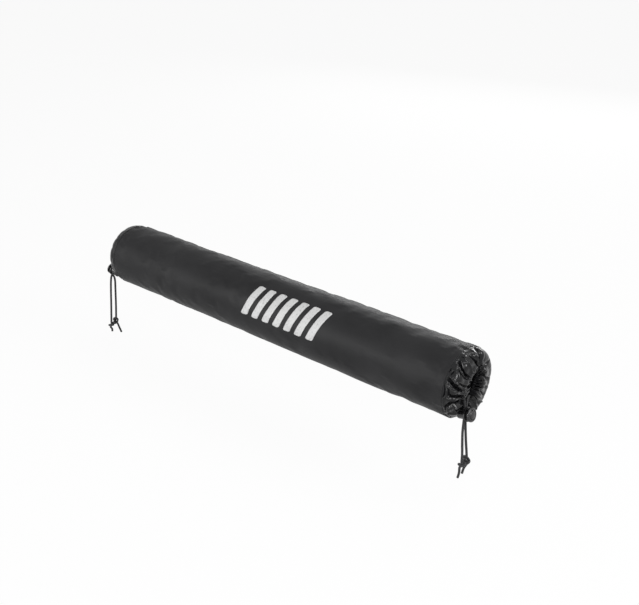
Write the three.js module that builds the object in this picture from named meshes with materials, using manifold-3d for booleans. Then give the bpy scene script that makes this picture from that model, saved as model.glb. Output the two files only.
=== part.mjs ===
// A roof rack pad: a foam tube in a fabric sleeve, with a gathered collar at each end that a
// drawcord and a spring cord lock pull shut. Millimetres, +Z up, X along the pad, origin at its middle.
import * as THREE from "three";
import { mergeVertices } from "three/addons/utils/BufferGeometryUtils.js";
import Module from "manifold-3d";

const wasm = await Module();
wasm.setup();

// Sleeve and foam
const padRadius = 44; // outside of the sleeve
const sleeveLength = 574; // between the two collar seams
const fabric = 1; // coated polyester with its backing
const clearance = 0.3; // between pieces that touch
const lapWidth = 11; // the lengthwise seam, where the cloth lies double
const lapRise = 0.9;
const lapAngle = -48; // degrees round the pad from +Y, on the side that faces down and away
const boreRadius = 18; // the hole for the roof bar
const foamSetback = 1; // from the collar seam back to the foam's end
const foamCorner = 6;

// Gathered collars
const collarDepth = 16; // from the seam to the face
const shoulderWidth = 12; // how far in from the outside the face begins
const shoulderPower = 2.8; // 2 is a round shoulder, more is blunter
const pleatCount = 13;
const pleatDepth = 6.5;
const mouthStraight = 22; // straight run of the drawn mouth
const mouthHalfWidth = 3;
const mouthInset = 5; // from the face back to the drawcord

// Drawcord and its hem
const cordRadius = 1.5;
const hemClearance = 1; // round the cord inside its hem
const exitReach = 15; // half of the hem's open stretch, along the mouth

// Cord lock, measured along its own axis from the middle of its cord hole
const barrelWall = 1.2;
const barrelCap = 1;
const springRoom = 4.2;
const springWire = 0.28;
const springTurns = 3;
const stemWall = 1.35; // beside the cord hole
const stemFoot = 1.2; // below the cord hole
const stemClearance = 0.2;
const flangeSetback = 1.1; // from the cord hole to the flange
const flangeThickness = 1.4;
const flangeWidth = 2.6; // past the barrel
const buttonTravel = 3;
const buttonRadius = 8.7;
const buttonDome = 3.8;
const lockOutset = 4.6; // from the drawcord's level out to the lock's cord hole
const lockTilt = 15; // degrees that the button end points up

// Knots at the cord ends
const knotRadius = 3.3;

// Reflective bars printed on the side that is seen
const barCount = 7;
const barWidth = 11;
const barGap = 7.5;
const barSlant = 15;
const barHeight = 44; // measured round the pad
const barFilm = 0.4;
const printCentre = 43; // along X
const printAngle = 34; // degrees up from the viewer's side

const seamX = sleeveLength / 2;
const faceX = seamX + collarDepth;
const cordX = faceX - mouthInset;
const hemInner = cordRadius + hemClearance;
const hemOuter = hemInner + fabric;
const mouthBend = mouthHalfWidth + hemOuter;
const mouthAround = 2 * mouthStraight + 2 * Math.PI * mouthBend;
const strandSpacing = 2 * cordRadius + clearance;
const slotHalfWidth = strandSpacing / 2 + cordRadius + clearance;
const slotHalfLength = cordRadius + clearance;
const stemRadius = slotHalfWidth + stemWall;
const stemBack = -slotHalfLength - stemFoot;
const barrelBore = stemRadius + stemClearance;
const barrelRadius = barrelBore + barrelWall;
const barrelFloor = stemBack - springRoom;
const barrelBack = barrelFloor - barrelCap;
const flangeStart = slotHalfLength + flangeSetback;
const flangeEnd = flangeStart + flangeThickness;
const flangeRadius = barrelRadius + flangeWidth;
const buttonStart = flangeEnd + buttonTravel + clearance;
const tilt = THREE.MathUtils.degToRad(lockTilt);

// Each end is modelled in a frame of its own: x outwards from the pad's middle, v towards the
// printed side and z up. "hand" turns v into that frame's y. The tails' routes start at the lock.
const ends = [
  {
    name: "right",
    turn: 0,
    hand: -1,
    lockAngle: 62.4,
    lockInset: 10.8,
    lockTurn: 24,
    mouthTilt: 60,
    mouthCentre: [1, 0.5],
    pleatShift: 0.4,
    strands: [
      {
        name: "near",
        side: 1,
        route: [[1.2, 2.3, -4.2], [2.3, 4.7, -12.2], [3.3, 5.1, -27], [3.8, 3.8, -45], [3.6, 3.3, -56]],
        stub: [-2.5, 1.9, -18.4],
      },
      {
        name: "far",
        side: -1,
        route: [[0.9, 0.9, -3.5], [2.2, 1.6, -12], [3.4, 0.6, -28], [4.2, -1.2, -42], [4.4, -2.8, -52]],
        stub: [-3, 3.4, -19.1],
      },
    ],
  },
  {
    name: "left",
    turn: Math.PI,
    hand: 1,
    lockAngle: 33,
    lockInset: 6.4,
    lockTurn: 42,
    mouthTilt: 38,
    mouthCentre: [8, 2.5],
    pleatShift: 2.1,
    strands: [
      {
        name: "near",
        side: 1,
        route: [[1.4, 1.7, -4], [2.6, 2.4, -11], [3.9, 3.5, -27], [4.7, 5.3, -50], [5.3, 8.4, -81]],
        stub: [-1, 0.3, -11],
      },
      {
        name: "far",
        side: -1,
        route: [[1, -0.9, -4], [1.5, -2.2, -10], [2.8, -2, -27], [4.3, -0.7, -55], [5.3, 0.9, -76]],
        stub: [-1.5, -6.5, -21.9],
      },
    ],
  },
];

const colours = {
  sleeve: [0x2b2b2c, 0.62],
  collar: [0x1d1d1f, 0.38],
  foam: [0x3a3a3c, 0.95],
  cord: [0x202022, 0.8],
  lock: [0x242426, 0.42],
  spring: [0xb8b8b4, 0.3],
  print: [0xc9c9c9, 0.5],
};

function material(kind) {
  const [color, roughness] = colours[kind];
  return new THREE.MeshStandardMaterial({ color, roughness, metalness: kind === "spring" ? 0.9 : 0 });
}

function named(name, geometry, kind) {
  const mesh = new THREE.Mesh(geometry, material(kind));
  mesh.name = name;
  return mesh;
}

function mix(a, b, t) {
  return a + (b - a) * t;
}

// Smaller of two values, rounded where they cross.
function softMin(a, b, round) {
  const h = THREE.MathUtils.clamp(0.5 + (b - a) / (2 * round), 0, 1);
  return mix(b, a, h) - round * h * (1 - h);
}

// Rings of points joined each to the next and the last to the first, facing out.
function ringSolid(rings) {
  const count = rings[0].length;
  const index = [];
  rings.forEach((ring, i) => {
    const next = (i + 1) % rings.length;
    ring.forEach((point, j) => {
      const k = (j + 1) % count;
      const [a, b, c, d] = [i * count + j, i * count + k, next * count + k, next * count + j];
      index.push(a, b, c, a, c, d);
    });
  });
  return facingOut(rings.flat(), index);
}

function facingOut(points, index) {
  let volume = 0;
  for (let i = 0; i < index.length; i += 3) {
    const [a, b, c] = [points[index[i]], points[index[i + 1]], points[index[i + 2]]];
    volume += a.dot(new THREE.Vector3().crossVectors(b, c));
  }
  if (volume < 0) index.reverse();
  const geometry = new THREE.BufferGeometry().setFromPoints(points);
  geometry.setIndex(index);
  return geometry;
}

function curveThrough(points) {
  return new THREE.CatmullRomCurve3(points, false, "centripetal");
}

// A tube of eight sides along a curve, with flat ends.
function tube(curve, radius, steps, sides = 8) {
  const section = new THREE.Shape();
  for (let i = 0; i < sides; i++) {
    const a = (i / sides) * 2 * Math.PI;
    const point = [radius * Math.cos(a), radius * Math.sin(a)];
    if (i === 0) section.moveTo(...point);
    else section.lineTo(...point);
  }
  return new THREE.ExtrudeGeometry(section, { steps, extrudePath: curve, bevelEnabled: false });
}

function solidOf(geometry) {
  const bare = new THREE.BufferGeometry().setAttribute("position", geometry.getAttribute("position"));
  if (geometry.index) bare.setIndex(geometry.index);
  const merged = mergeVertices(bare, 1e-4);
  return new wasm.Manifold(
    new wasm.Mesh({
      numProp: 3,
      vertProperties: merged.attributes.position.array,
      triVerts: new Uint32Array(merged.index.array),
    }),
  );
}

function geometryOf(solid) {
  const mesh = solid.getMesh();
  const geometry = new THREE.BufferGeometry();
  geometry.setAttribute("position", new THREE.BufferAttribute(new Float32Array(mesh.vertProperties), 3));
  geometry.setIndex(Array.from(mesh.triVerts));
  return geometry;
}

// A profile of [radius, x] points turned about the X axis.
function turned(profile, segments) {
  const points = profile.map(([radius, x]) => new THREE.Vector2(radius, x));
  return new THREE.LatheGeometry(points, segments).rotateZ(-Math.PI / 2);
}

function boxBetween(low, high) {
  const size = high.map((value, i) => value - low[i]);
  const centre = high.map((value, i) => (value + low[i]) / 2);
  return new THREE.BoxGeometry(...size).translate(...centre);
}

// The sleeve: one cloth sewn into a tube, double along its lap seam.
function sleeve() {
  const segments = 60;
  const half = lapWidth / 2 / padRadius;
  const middle = THREE.MathUtils.degToRad(lapAngle + 90);
  const shape = new THREE.Shape();
  shape.absarc(0, 0, padRadius, middle + half, middle - half + 2 * Math.PI, false);
  for (const a of [middle - half, middle, middle + half]) {
    shape.lineTo((padRadius + lapRise) * Math.cos(a), (padRadius + lapRise) * Math.sin(a));
  }
  const hole = new THREE.Path();
  hole.absarc(0, 0, padRadius - fabric, 0, 2 * Math.PI, true);
  shape.holes.push(hole);
  const options = { depth: sleeveLength, bevelEnabled: false, curveSegments: segments };
  return new THREE.ExtrudeGeometry(shape, options)
    .rotateY(Math.PI / 2)
    .translate(-seamX, 0, 0);
}

// One length of the foam tube, from the pad's middle to its end, whose corner is rounded.
function foamTube() {
  const radius = padRadius - fabric - clearance;
  const start = clearance / 2;
  const end = seamX - foamSetback;
  const profile = [[boreRadius, start], [radius, start]];
  for (const i of [0, 1, 2, 3]) {
    const a = (i / 3) * (Math.PI / 2);
    profile.push([radius - foamCorner * (1 - Math.cos(a)), end - foamCorner * (1 - Math.sin(a))]);
  }
  profile.push([boreRadius, end], [boreRadius, start]);
  return turned(profile, 40);
}

// The drawcord's line round the mouth, by the share of its length from the end next to the lock,
// and the direction away from the mouth there.
function mouthAt(end, share) {
  const a = THREE.MathUtils.degToRad(end.mouthTilt);
  const along = new THREE.Vector2(Math.cos(a), -Math.sin(a));
  const across = new THREE.Vector2(Math.sin(a), Math.cos(a));
  const quarter = (Math.PI / 2) * mouthBend;
  const returning = share > 0.5;
  const s = (returning ? 1 - share : share) * mouthAround;
  const straight = THREE.MathUtils.clamp(s - quarter, 0, mouthStraight);
  const bend = (s - straight) / mouthBend;
  const away = new THREE.Vector2()
    .addScaledVector(along, Math.cos(bend))
    .addScaledVector(across, (returning ? -1 : 1) * Math.sin(bend));
  const place = new THREE.Vector2(...end.mouthCentre)
    .addScaledVector(along, mouthStraight / 2 - straight)
    .addScaledVector(away, mouthBend);
  return { place, away };
}

// How deep the collar folds in at a turn: 0 on a ridge and about 1 in a fold, no two folds alike.
function foldAt(turn, shift) {
  const uneven = 0.78 + 0.3 * Math.sin(3 * turn + shift) + 0.22 * Math.sin(5 * turn + 2 * shift);
  const ridge = Math.abs(Math.sin((pleatCount * turn) / 2));
  return uneven * (1 - Math.pow(ridge, 0.75));
}

// Pleats aren't evenly spaced: the angle at the seam for each turn of the mouth.
function seamAngle(end, turn) {
  const shift = end.pleatShift;
  const wander = (t) => t + 0.1 * Math.sin(2 * t + shift) + 0.05 * Math.sin(3 * t + 2.1 * shift);
  return wander(turn) - wander(0) - THREE.MathUtils.degToRad(end.mouthTilt);
}

// Where the lock stands at an end: v and z of the middle of its cord hole.
function lockPlace(end) {
  const a = THREE.MathUtils.degToRad(end.lockAngle);
  return new THREE.Vector2(Math.cos(a), -Math.sin(a)).multiplyScalar(padRadius - end.lockInset);
}

// The level to which the lock and its two strands press the collar in.
const lockReach = (1 - barrelBack) * Math.cos(tilt) + barrelRadius * Math.sin(tilt);
const pocketFloor = cordX + lockOutset - lockReach;

// The highest that the collar can be at a place: the pocket's walls rise away from the line that
// runs from the mouth to the lock.
function ceilingAt(end, place) {
  const slope = 1.5;
  const tip = mouthAt(end, 0).place;
  const line = lockPlace(end).sub(tip);
  const t = THREE.MathUtils.clamp(place.clone().sub(tip).dot(line) / line.lengthSq(), 0, 1.2);
  const distance = place.distanceTo(tip.addScaledVector(line, t));
  return pocketFloor + Math.max(0, distance - barrelRadius - 1) * slope;
}

// The hem passes below the cord and curls back over it. It is flat and low where the cord leaves.
function hemPoint(end, share, radius, step) {
  const { place, away } = mouthAt(end, share);
  const fromTip = Math.min(share, 1 - share) * mouthAround;
  const curl = THREE.MathUtils.smoothstep(fromTip, 0.6 * exitReach, 1.1 * exitReach);
  const sink = 1 - THREE.MathUtils.smoothstep(fromTip, 0.3 * exitReach, 0.6 * exitReach);
  const a = -Math.PI / 2 - THREE.MathUtils.degToRad(mix(6, 70, curl)) * step;
  const drop = Math.min(0, pocketFloor + hemInner - cordX) * sink;
  return [place.addScaledVector(away, radius * Math.cos(a)), cordX + radius * Math.sin(a) + drop];
}

// The collar's face: row 0 is at the seam, row 1 past the shoulder and row 2 at the hem. Depth is
// measured into the cloth.
function facePoint(end, share, row, depth) {
  const turn = share * 2 * Math.PI;
  const angle = seamAngle(end, turn);
  const outside = new THREE.Vector2(Math.cos(angle), Math.sin(angle));
  const a = (Math.min(row, 1) * Math.PI) / 2;
  const power = 2 / shoulderPower;
  const inwards = shoulderWidth * (1 - Math.pow(Math.cos(a), power));
  const rise = collarDepth * Math.pow(Math.sin(a), power);
  const [rim, rimX] = hemPoint(end, share, hemInner + depth, 0);
  const t = Math.max(row - 1, 0);
  const place = outside.clone().multiplyScalar(padRadius - depth - inwards).lerp(rim, t);
  if (row === 0) return [place, seamX + clearance];
  const grown = THREE.MathUtils.smoothstep(row, 0, 0.9) * (1 - THREE.MathUtils.smoothstep(row, 1.5, 2));
  const pull = pleatDepth * foldAt(turn, end.pleatShift) * grown;
  place.addScaledVector(outside, -0.8 * pull * Math.cos(a));
  const free = seamX + clearance + rise - (depth + pull) * Math.sin(a);
  const x = mix(free, rimX, THREE.MathUtils.smoothstep(t, 0, 1));
  return [place, Math.max(softMin(x, ceilingAt(end, place) - depth, 1.2), seamX + clearance + row)];
}

// One collar: its cloth runs from the seam over the shoulder to the mouth, round the drawcord as a
// hem, and back inside. Each section is a closed line of points.
function collar(end) {
  const sectionsPerPleat = 5;
  const count = pleatCount * sectionsPerPleat;
  const rings = [];
  for (let i = 0; i < count; i++) {
    const share = i / count;
    const section = [
      ...[0, 0.3, 0.62, 0.95, 1.3, 1.62, 2].map((row) => facePoint(end, share, row, 0)),
      ...[1, 2, 3].map((step) => hemPoint(end, share, hemInner, step)),
      ...[3, 2, 1, 0].map((step) => hemPoint(end, share, hemOuter, step)),
      ...[1.62, 0.95, 0.3, 0].map((row) => facePoint(end, share, row, fabric)),
    ];
    rings.push(section.map(([place, x]) => new THREE.Vector3(x, end.hand * place.x, place.y)));
  }
  return ringSolid(rings);
}

// The lock's own frame: along its axis, sideways across its cord hole, and up towards the mouth.
function lockOrigin(end) {
  const place = lockPlace(end);
  return new THREE.Vector3(cordX + lockOutset, end.hand * place.x, place.y);
}

function lockRotation(end) {
  return new THREE.Euler(end.hand * THREE.MathUtils.degToRad(end.lockTurn), -tilt, 0, "YXZ");
}

function strandInLock(end, side, up) {
  const local = new THREE.Vector3(0, (end.hand * side * strandSpacing) / 2, up);
  return local.applyEuler(lockRotation(end)).add(lockOrigin(end));
}

// The drawcord: up through the lock, round the mouth inside the hem and back through the lock.
function drawcordLine(end) {
  const levels = [-barrelRadius - clearance, -barrelRadius / 2, 0, barrelRadius / 2, barrelRadius + 1.2];
  const strand = (side) => levels.map((up) => strandInLock(end, side, up));
  const leaveShare = (0.9 * mouthBend) / mouthAround;
  const inHem = [];
  const count = 22;
  for (let i = 0; i <= count; i++) {
    const { place } = mouthAt(end, mix(leaveShare, 1 - leaveShare, i / count));
    inHem.push(new THREE.Vector3(cordX, end.hand * place.x, place.y));
  }
  return curveThrough([...strand(1), ...inHem, ...strand(-1).reverse()]);
}

// A strand that hangs from the lock to its knot.
function tailLine(end, strand) {
  const below = (drop) => strandInLock(end, strand.side, -barrelRadius - drop);
  const exit = below(2 * clearance);
  const away = ([x, v, z]) => exit.clone().add(new THREE.Vector3(x, end.hand * v, z));
  const points = strand.route.map(away);
  return curveThrough([exit, below(2 * clearance + cordRadius), ...points]);
}

// A knot and the short cut end of cord below it.
function knot(end, strand) {
  const line = tailLine(end, strand);
  const middle = line.getPointAt(1).addScaledVector(line.getTangentAt(1), knotRadius + clearance);
  const lump = new THREE.IcosahedronGeometry(knotRadius, 1).scale(0.92, 0.92, 1);
  lump.translate(middle.x, middle.y, middle.z);
  const [outward, viewer, drop] = strand.stub;
  const tip = middle.clone().add(new THREE.Vector3(outward, end.hand * viewer, drop));
  const belly = middle.clone().lerp(tip, 0.5).add(new THREE.Vector3(0, 0, -1));
  const stub = curveThrough([middle, belly, tip]);
  return geometryOf(solidOf(lump).add(solidOf(tube(stub, cordRadius, 5))));
}

// A slot through the lock for its two strands, from one level along the axis to another.
function cordSlot(from, to, radius) {
  return solidOf(boxBetween([from, -slotHalfWidth, -radius - 1], [to, slotHalfWidth, radius + 1]));
}

// The lock's barrel: a closed cup with a flange at its mouth and a cord slot across it.
function lockBody() {
  const edge = 0.4;
  const profile = [
    [0, barrelBack],
    [barrelRadius - 1, barrelBack],
    [barrelRadius, barrelBack + 1],
    [barrelRadius, flangeStart],
    [flangeRadius - edge, flangeStart],
    [flangeRadius, flangeStart + flangeThickness / 2],
    [flangeRadius - edge, flangeEnd],
    [barrelBore, flangeEnd],
    [barrelBore, barrelFloor],
    [0, barrelFloor],
  ];
  const cup = solidOf(turned(profile, 24));
  return geometryOf(cup.subtract(cordSlot(-slotHalfLength, slotHalfLength, barrelRadius)));
}

// The button: a domed head on a stem whose slot lets the cord through as it is pressed.
function lockButton() {
  const edge = 0.4;
  const profile = [
    [0, stemBack],
    [stemRadius, stemBack],
    [stemRadius, buttonStart],
    [buttonRadius - edge, buttonStart],
    [buttonRadius, buttonStart + edge],
    [buttonRadius - edge, buttonStart + 0.45 * buttonDome],
    [buttonRadius * 0.72, buttonStart + 0.86 * buttonDome],
    [buttonRadius * 0.4, buttonStart + 0.98 * buttonDome],
    [0, buttonStart + buttonDome],
  ];
  const slot = cordSlot(-slotHalfLength, slotHalfLength + buttonTravel, stemRadius);
  return geometryOf(solidOf(turned(profile, 24)).subtract(slot));
}

// The coil spring between the closed end of the barrel and the stem.
class Helix extends THREE.Curve {
  getPoint(t, target = new THREE.Vector3()) {
    const radius = stemRadius - 3 * springWire;
    const margin = springWire + clearance / 2;
    const a = t * springTurns * 2 * Math.PI;
    const along = mix(barrelFloor + margin, stemBack - margin, t);
    return target.set(along, radius * Math.cos(a), radius * Math.sin(a));
  }
}

// One slanting bar of the print, a film that follows the sleeve.
function printBar(number) {
  const steps = 8;
  const low = THREE.MathUtils.degToRad(printAngle) - barHeight / 2 / padRadius;
  const start = printCentre + (number - (barCount - 1) / 2) * (barWidth + barGap) - barWidth / 2;
  const rings = [];
  for (let i = 0; i <= steps; i++) {
    const a = low + ((barHeight / padRadius) * i) / steps;
    const x = start + barSlant * (i / steps - 0.5);
    const [inner, outer] = [padRadius + clearance, padRadius + clearance + barFilm];
    const corners = [[x, inner], [x + barWidth, inner], [x + barWidth, outer], [x, outer]];
    const around = ([along, r]) => new THREE.Vector3(along, -r * Math.cos(a), r * Math.sin(a));
    rings.push(corners.map(around));
  }
  const index = [];
  for (let i = 0; i < steps; i++) {
    for (let j = 0; j < 4; j++) {
      const k = (j + 1) % 4;
      const [a, b, c, d] = [i * 4 + j, i * 4 + k, (i + 1) * 4 + k, (i + 1) * 4 + j];
      index.push(a, b, c, a, c, d);
    }
  }
  const last = steps * 4;
  index.push(2, 1, 0, 3, 2, 0, last, last + 1, last + 2, last, last + 2, last + 3);
  return facingOut(rings.flat(), index);
}

function lockGroup(end) {
  const group = new THREE.Group();
  group.position.copy(lockOrigin(end));
  group.rotation.copy(lockRotation(end));
  group.add(named(`lock_body_${end.name}`, lockBody(), "lock"));
  group.add(named(`lock_button_${end.name}`, lockButton(), "lock"));
  group.add(named(`lock_spring_${end.name}`, tube(new Helix(), springWire, 24, 5), "spring"));
  return group;
}

function endGroup(end) {
  const group = new THREE.Group();
  group.rotation.z = end.turn;
  group.add(named(`foam_${end.name}`, foamTube(), "foam"));
  group.add(named(`collar_${end.name}`, collar(end), "collar"));
  group.add(named(`drawcord_${end.name}`, tube(drawcordLine(end), cordRadius, 46), "cord"));
  group.add(lockGroup(end));
  for (const strand of end.strands) {
    const tail = tube(tailLine(end, strand), cordRadius, 10);
    group.add(named(`tail_${end.name}_${strand.name}`, tail, "cord"));
    group.add(named(`knot_${end.name}_${strand.name}`, knot(end, strand), "cord"));
  }
  return group;
}

const pad = new THREE.Group();
pad.add(named("sleeve", sleeve(), "sleeve"));
for (let i = 0; i < barCount; i++) pad.add(named(`print_bar_${i + 1}`, printBar(i), "print"));
for (const end of ends) pad.add(endGroup(end));

export default pad;
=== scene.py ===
"""Looks of a roof rack pad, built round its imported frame. Lengths are millimetres unless a name says metres."""

import logging
import math
from dataclasses import dataclass
from enum import Enum
from typing import Sequence

import bpy
import numpy as np
from mathutils import Matrix, Vector


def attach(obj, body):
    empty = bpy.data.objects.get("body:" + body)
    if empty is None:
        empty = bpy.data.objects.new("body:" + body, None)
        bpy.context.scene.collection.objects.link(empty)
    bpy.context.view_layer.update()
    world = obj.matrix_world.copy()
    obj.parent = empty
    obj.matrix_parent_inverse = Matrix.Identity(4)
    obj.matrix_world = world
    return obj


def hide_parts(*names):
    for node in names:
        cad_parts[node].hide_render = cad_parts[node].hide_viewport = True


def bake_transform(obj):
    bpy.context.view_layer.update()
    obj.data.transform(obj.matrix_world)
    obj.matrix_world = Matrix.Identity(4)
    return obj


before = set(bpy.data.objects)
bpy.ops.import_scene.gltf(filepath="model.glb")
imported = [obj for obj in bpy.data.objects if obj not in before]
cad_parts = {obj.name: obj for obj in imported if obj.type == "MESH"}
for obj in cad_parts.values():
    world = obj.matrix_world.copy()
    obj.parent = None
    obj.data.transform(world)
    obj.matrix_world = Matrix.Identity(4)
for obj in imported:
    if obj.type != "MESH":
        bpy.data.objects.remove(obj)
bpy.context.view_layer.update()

MM = 0.001
CLOTH_MAP = "cloth_mm"
log = logging.getLogger("pad")

Tree = bpy.types.NodeTree
Socket = bpy.types.NodeSocket
Material = bpy.types.Material
Piece = bpy.types.Object


def linear(hex_colour: str) -> tuple[float, float, float, float]:
    """Turns an sRGB hex colour into linear RGBA.

    Args:
        hex_colour: Six hex digits after a hash.

    Returns:
        The linear colour with an alpha of 1.
    """
    channels = [int(hex_colour[i : i + 2], 16) / 255 for i in (1, 3, 5)]
    return (*[c / 12.92 if c <= 0.04045 else ((c + 0.055) / 1.055) ** 2.4 for c in channels], 1.0)


def smoothstep(value: np.ndarray, low: float, high: float) -> np.ndarray:
    """Rises smoothly from 0 at low to 1 at high."""
    t = np.clip((np.asarray(value, float) - low) / (high - low), 0, 1)
    return t * t * (3 - 2 * t)


def soft_min(a: np.ndarray, b: np.ndarray, rounding: float) -> np.ndarray:
    """Smaller of two values, rounded where they cross."""
    h = np.clip(0.5 + (b - a) / (2 * rounding), 0, 1)
    return b + (a - b) * h - rounding * h * (1 - h)


def lattice_noise(points: np.ndarray, cell: float, seed: int) -> np.ndarray:
    """Smooth noise of a fixed seed.

    Args:
        points: One row of three coordinates for each place.
        cell: Size of the noise's cells.
        seed: Which noise.

    Returns:
        A value from about -1 to 1 for each place.
    """
    scaled = np.asarray(points, float) / cell
    base = np.floor(scaled).astype(np.int64)
    part = scaled - base
    ease = part * part * (3 - 2 * part)
    total = np.zeros(len(scaled))
    for corner in range(8):
        step = np.array([corner & 1, corner >> 1 & 1, corner >> 2 & 1])
        key = (base + step) @ np.array([73856093, 19349663, 83492791]) + seed * 2654435761
        key = (key ^ key >> 13) * 1274126177 & 0xFFFFFFFF
        value = (key ^ key >> 16 & 0xFFFF) % 65536 / 32767.5 - 1
        total += value * np.prod(np.where(step == 1, ease, 1 - ease), axis=1)
    return total


def mesh_object(
    name: str,
    points: np.ndarray,
    faces: Sequence[Sequence[int]],
    material: Material,
    uv: np.ndarray | None = None,
) -> Piece:
    """Makes a smooth mesh object from points in millimetres.

    Args:
        name: The piece's name.
        points: One row for each vertex.
        faces: Vertex numbers of each face, facing out.
        material: The piece's finish.
        uv: One row of u and v for each face corner, in face order.

    Returns:
        The object, at the origin.
    """
    mesh = bpy.data.meshes.new(name)
    mesh.from_pydata((np.asarray(points, float) * MM).tolist(), [], [list(map(int, f)) for f in faces])
    if uv is not None:
        layer = mesh.uv_layers.new(name=CLOTH_MAP)
        layer.data.foreach_set("uv", np.asarray(uv, np.float32).ravel())
    mesh.materials.append(material)
    mesh.shade_smooth()
    mesh.update()
    made = bpy.data.objects.new(name, mesh)
    bpy.context.scene.collection.objects.link(made)
    return made


def grid_faces(rows: int, columns: int, wrap_rows: bool = False) -> np.ndarray:
    """Quads of a grid of points whose columns run all the way round.

    Args:
        rows: Number of rings.
        columns: Points in each ring.
        wrap_rows: Whether the last ring joins the first.

    Returns:
        Four vertex numbers for each quad.
    """
    row = np.arange(rows if wrap_rows else rows - 1)[:, None]
    column = np.arange(columns)[None, :]
    after = (row + 1) % rows
    beside = (column + 1) % columns
    quads = [row * columns + column, row * columns + beside, after * columns + beside, after * columns + column]
    return np.stack(np.broadcast_arrays(*quads), axis=-1).reshape(-1, 4)


def grid_uv(u: np.ndarray, v: np.ndarray) -> np.ndarray:
    """Face corner coordinates of the same grid.

    Args:
        u: Place across each quad column's edges, one more than there are columns.
        v: Place of each ring, one more than there are rings where the rows wrap.

    Returns:
        u and v for each face corner, in the order of grid_faces.
    """
    rows = len(v) - 1
    left, right = np.broadcast_arrays(u[None, :-1], u[None, 1:])
    left, right = np.repeat(left, rows, 0), np.repeat(right, rows, 0)
    low = np.repeat(v[:-1, None], len(u) - 1, 1)
    high = np.repeat(v[1:, None], len(u) - 1, 1)
    corners = [np.stack(pair, -1) for pair in ((left, low), (right, low), (right, high), (left, high))]
    return np.stack(corners, axis=2).reshape(-1, 2)


def face_out(points: np.ndarray, faces: np.ndarray) -> np.ndarray:
    """Turns every quad of a closed shell round if it encloses a negative volume."""
    a, b, c, d = (points[faces[:, k]] for k in range(4))
    volume = np.einsum("ij,ij->i", a, np.cross(b, c)).sum() + np.einsum("ij,ij->i", a, np.cross(c, d)).sum()
    return faces[:, ::-1] if volume < 0 else faces


def signed_volume(piece: Piece) -> float:
    """Six times the volume that a closed mesh encloses, negative where it is inside out."""
    mesh = piece.data
    mesh.calc_loop_triangles()
    corner = np.empty(len(mesh.vertices) * 3)
    mesh.vertices.foreach_get("co", corner)
    corner = corner.reshape(-1, 3)
    index = np.empty(len(mesh.loop_triangles) * 3, int)
    mesh.loop_triangles.foreach_get("vertices", index)
    a, b, c = (corner[index.reshape(-1, 3)[:, k]] for k in range(3))
    return float(np.einsum("ij,ij->i", a, np.cross(b, c)).sum())


def turned_outwards(piece: Piece) -> Piece:
    """Turns a closed mesh's faces round if it is inside out."""
    if signed_volume(piece) < 0:
        piece.data.flip_normals()
    return piece


def plain(piece: Piece) -> Piece:
    """Bakes an object's modifiers into a plain mesh and removes them."""
    depsgraph = bpy.context.evaluated_depsgraph_get()
    mesh = bpy.data.meshes.new_from_object(piece.evaluated_get(depsgraph))
    old = piece.data
    piece.modifiers.clear()
    piece.data = mesh
    mesh.name = piece.name
    bpy.data.meshes.remove(old)
    return piece


def round_pad(x: np.ndarray, radius: np.ndarray | float, turn: np.ndarray) -> np.ndarray:
    """Places round the pad's axis, where a turn of 0 is the printed side and a quarter turn is up."""
    return np.stack([x, -radius * np.cos(turn), radius * np.sin(turn)], axis=-1)


def full_turn(count: int) -> np.ndarray:
    """Even turns in radians all the way round."""
    return np.arange(count) / count * 2 * math.pi


def half_turns(turn: np.ndarray) -> np.ndarray:
    """Turns in radians as degrees from -180 to 180."""
    return (np.degrees(turn) + 180) % 360 - 180


def ring_noise(
    turn: np.ndarray, radius: float, cell: float, seed: int, level: np.ndarray | float = 0.0
) -> np.ndarray:
    """Smooth noise that closes on itself round a ring.

    Args:
        turn: Turn in radians at each place.
        radius: The ring's radius.
        cell: Size of the noise's cells.
        seed: Which noise.
        level: Height over the ring's plane at each place.

    Returns:
        A value from about -1 to 1 for each place.
    """
    level = np.broadcast_to(level, turn.shape)
    place = np.stack([radius * np.cos(turn), radius * np.sin(turn), level], axis=-1)
    return lattice_noise(place.reshape(-1, 3), cell, seed).reshape(turn.shape)


class CentripetalCurve:
    """A smooth curve through points, as the frame's cords follow."""

    def __init__(self, points: np.ndarray, samples: int = 40) -> None:
        """Samples the curve finely.

        Args:
            points: The points it passes through.
            samples: Samples between two points.
        """
        p = np.asarray(points, float)
        p = np.vstack([2 * p[0] - p[1], p, 2 * p[-1] - p[-2]])
        line = []
        for i in range(1, len(p) - 2):
            gaps = [max(np.linalg.norm(p[i + k] - p[i + k - 1]) ** 0.5, 1e-4) for k in (0, 1, 2)]
            before, here, beyond = gaps
            start = (p[i] - p[i - 1]) / before - (p[i + 1] - p[i - 1]) / (before + here) + (p[i + 1] - p[i]) / here
            end = (p[i + 1] - p[i]) / here - (p[i + 2] - p[i]) / (here + beyond) + (p[i + 2] - p[i + 1]) / beyond
            t = np.linspace(0, 1, samples, endpoint=False)[:, None]
            a, b = start * here, end * here
            cubic = (2 * (p[i] - p[i + 1]) + a + b) * t**3 + (3 * (p[i + 1] - p[i]) - 2 * a - b) * t**2
            line.append(p[i] + a * t + cubic)
        self.line = np.vstack([*line, p[-2:-1]])
        self.reach = np.concatenate([[0], np.cumsum(np.linalg.norm(np.diff(self.line, axis=0), axis=1))])

    @property
    def length(self) -> float:
        """Length of the whole curve."""
        return float(self.reach[-1])

    def spaced(self, step: float) -> np.ndarray:
        """Points at even distances along the curve, no more than step apart."""
        count = max(2, math.ceil(self.length / step) + 1)
        at = np.linspace(0, self.length, count)
        return np.stack([np.interp(at, self.reach, self.line[:, k]) for k in range(3)], axis=1)


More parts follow.
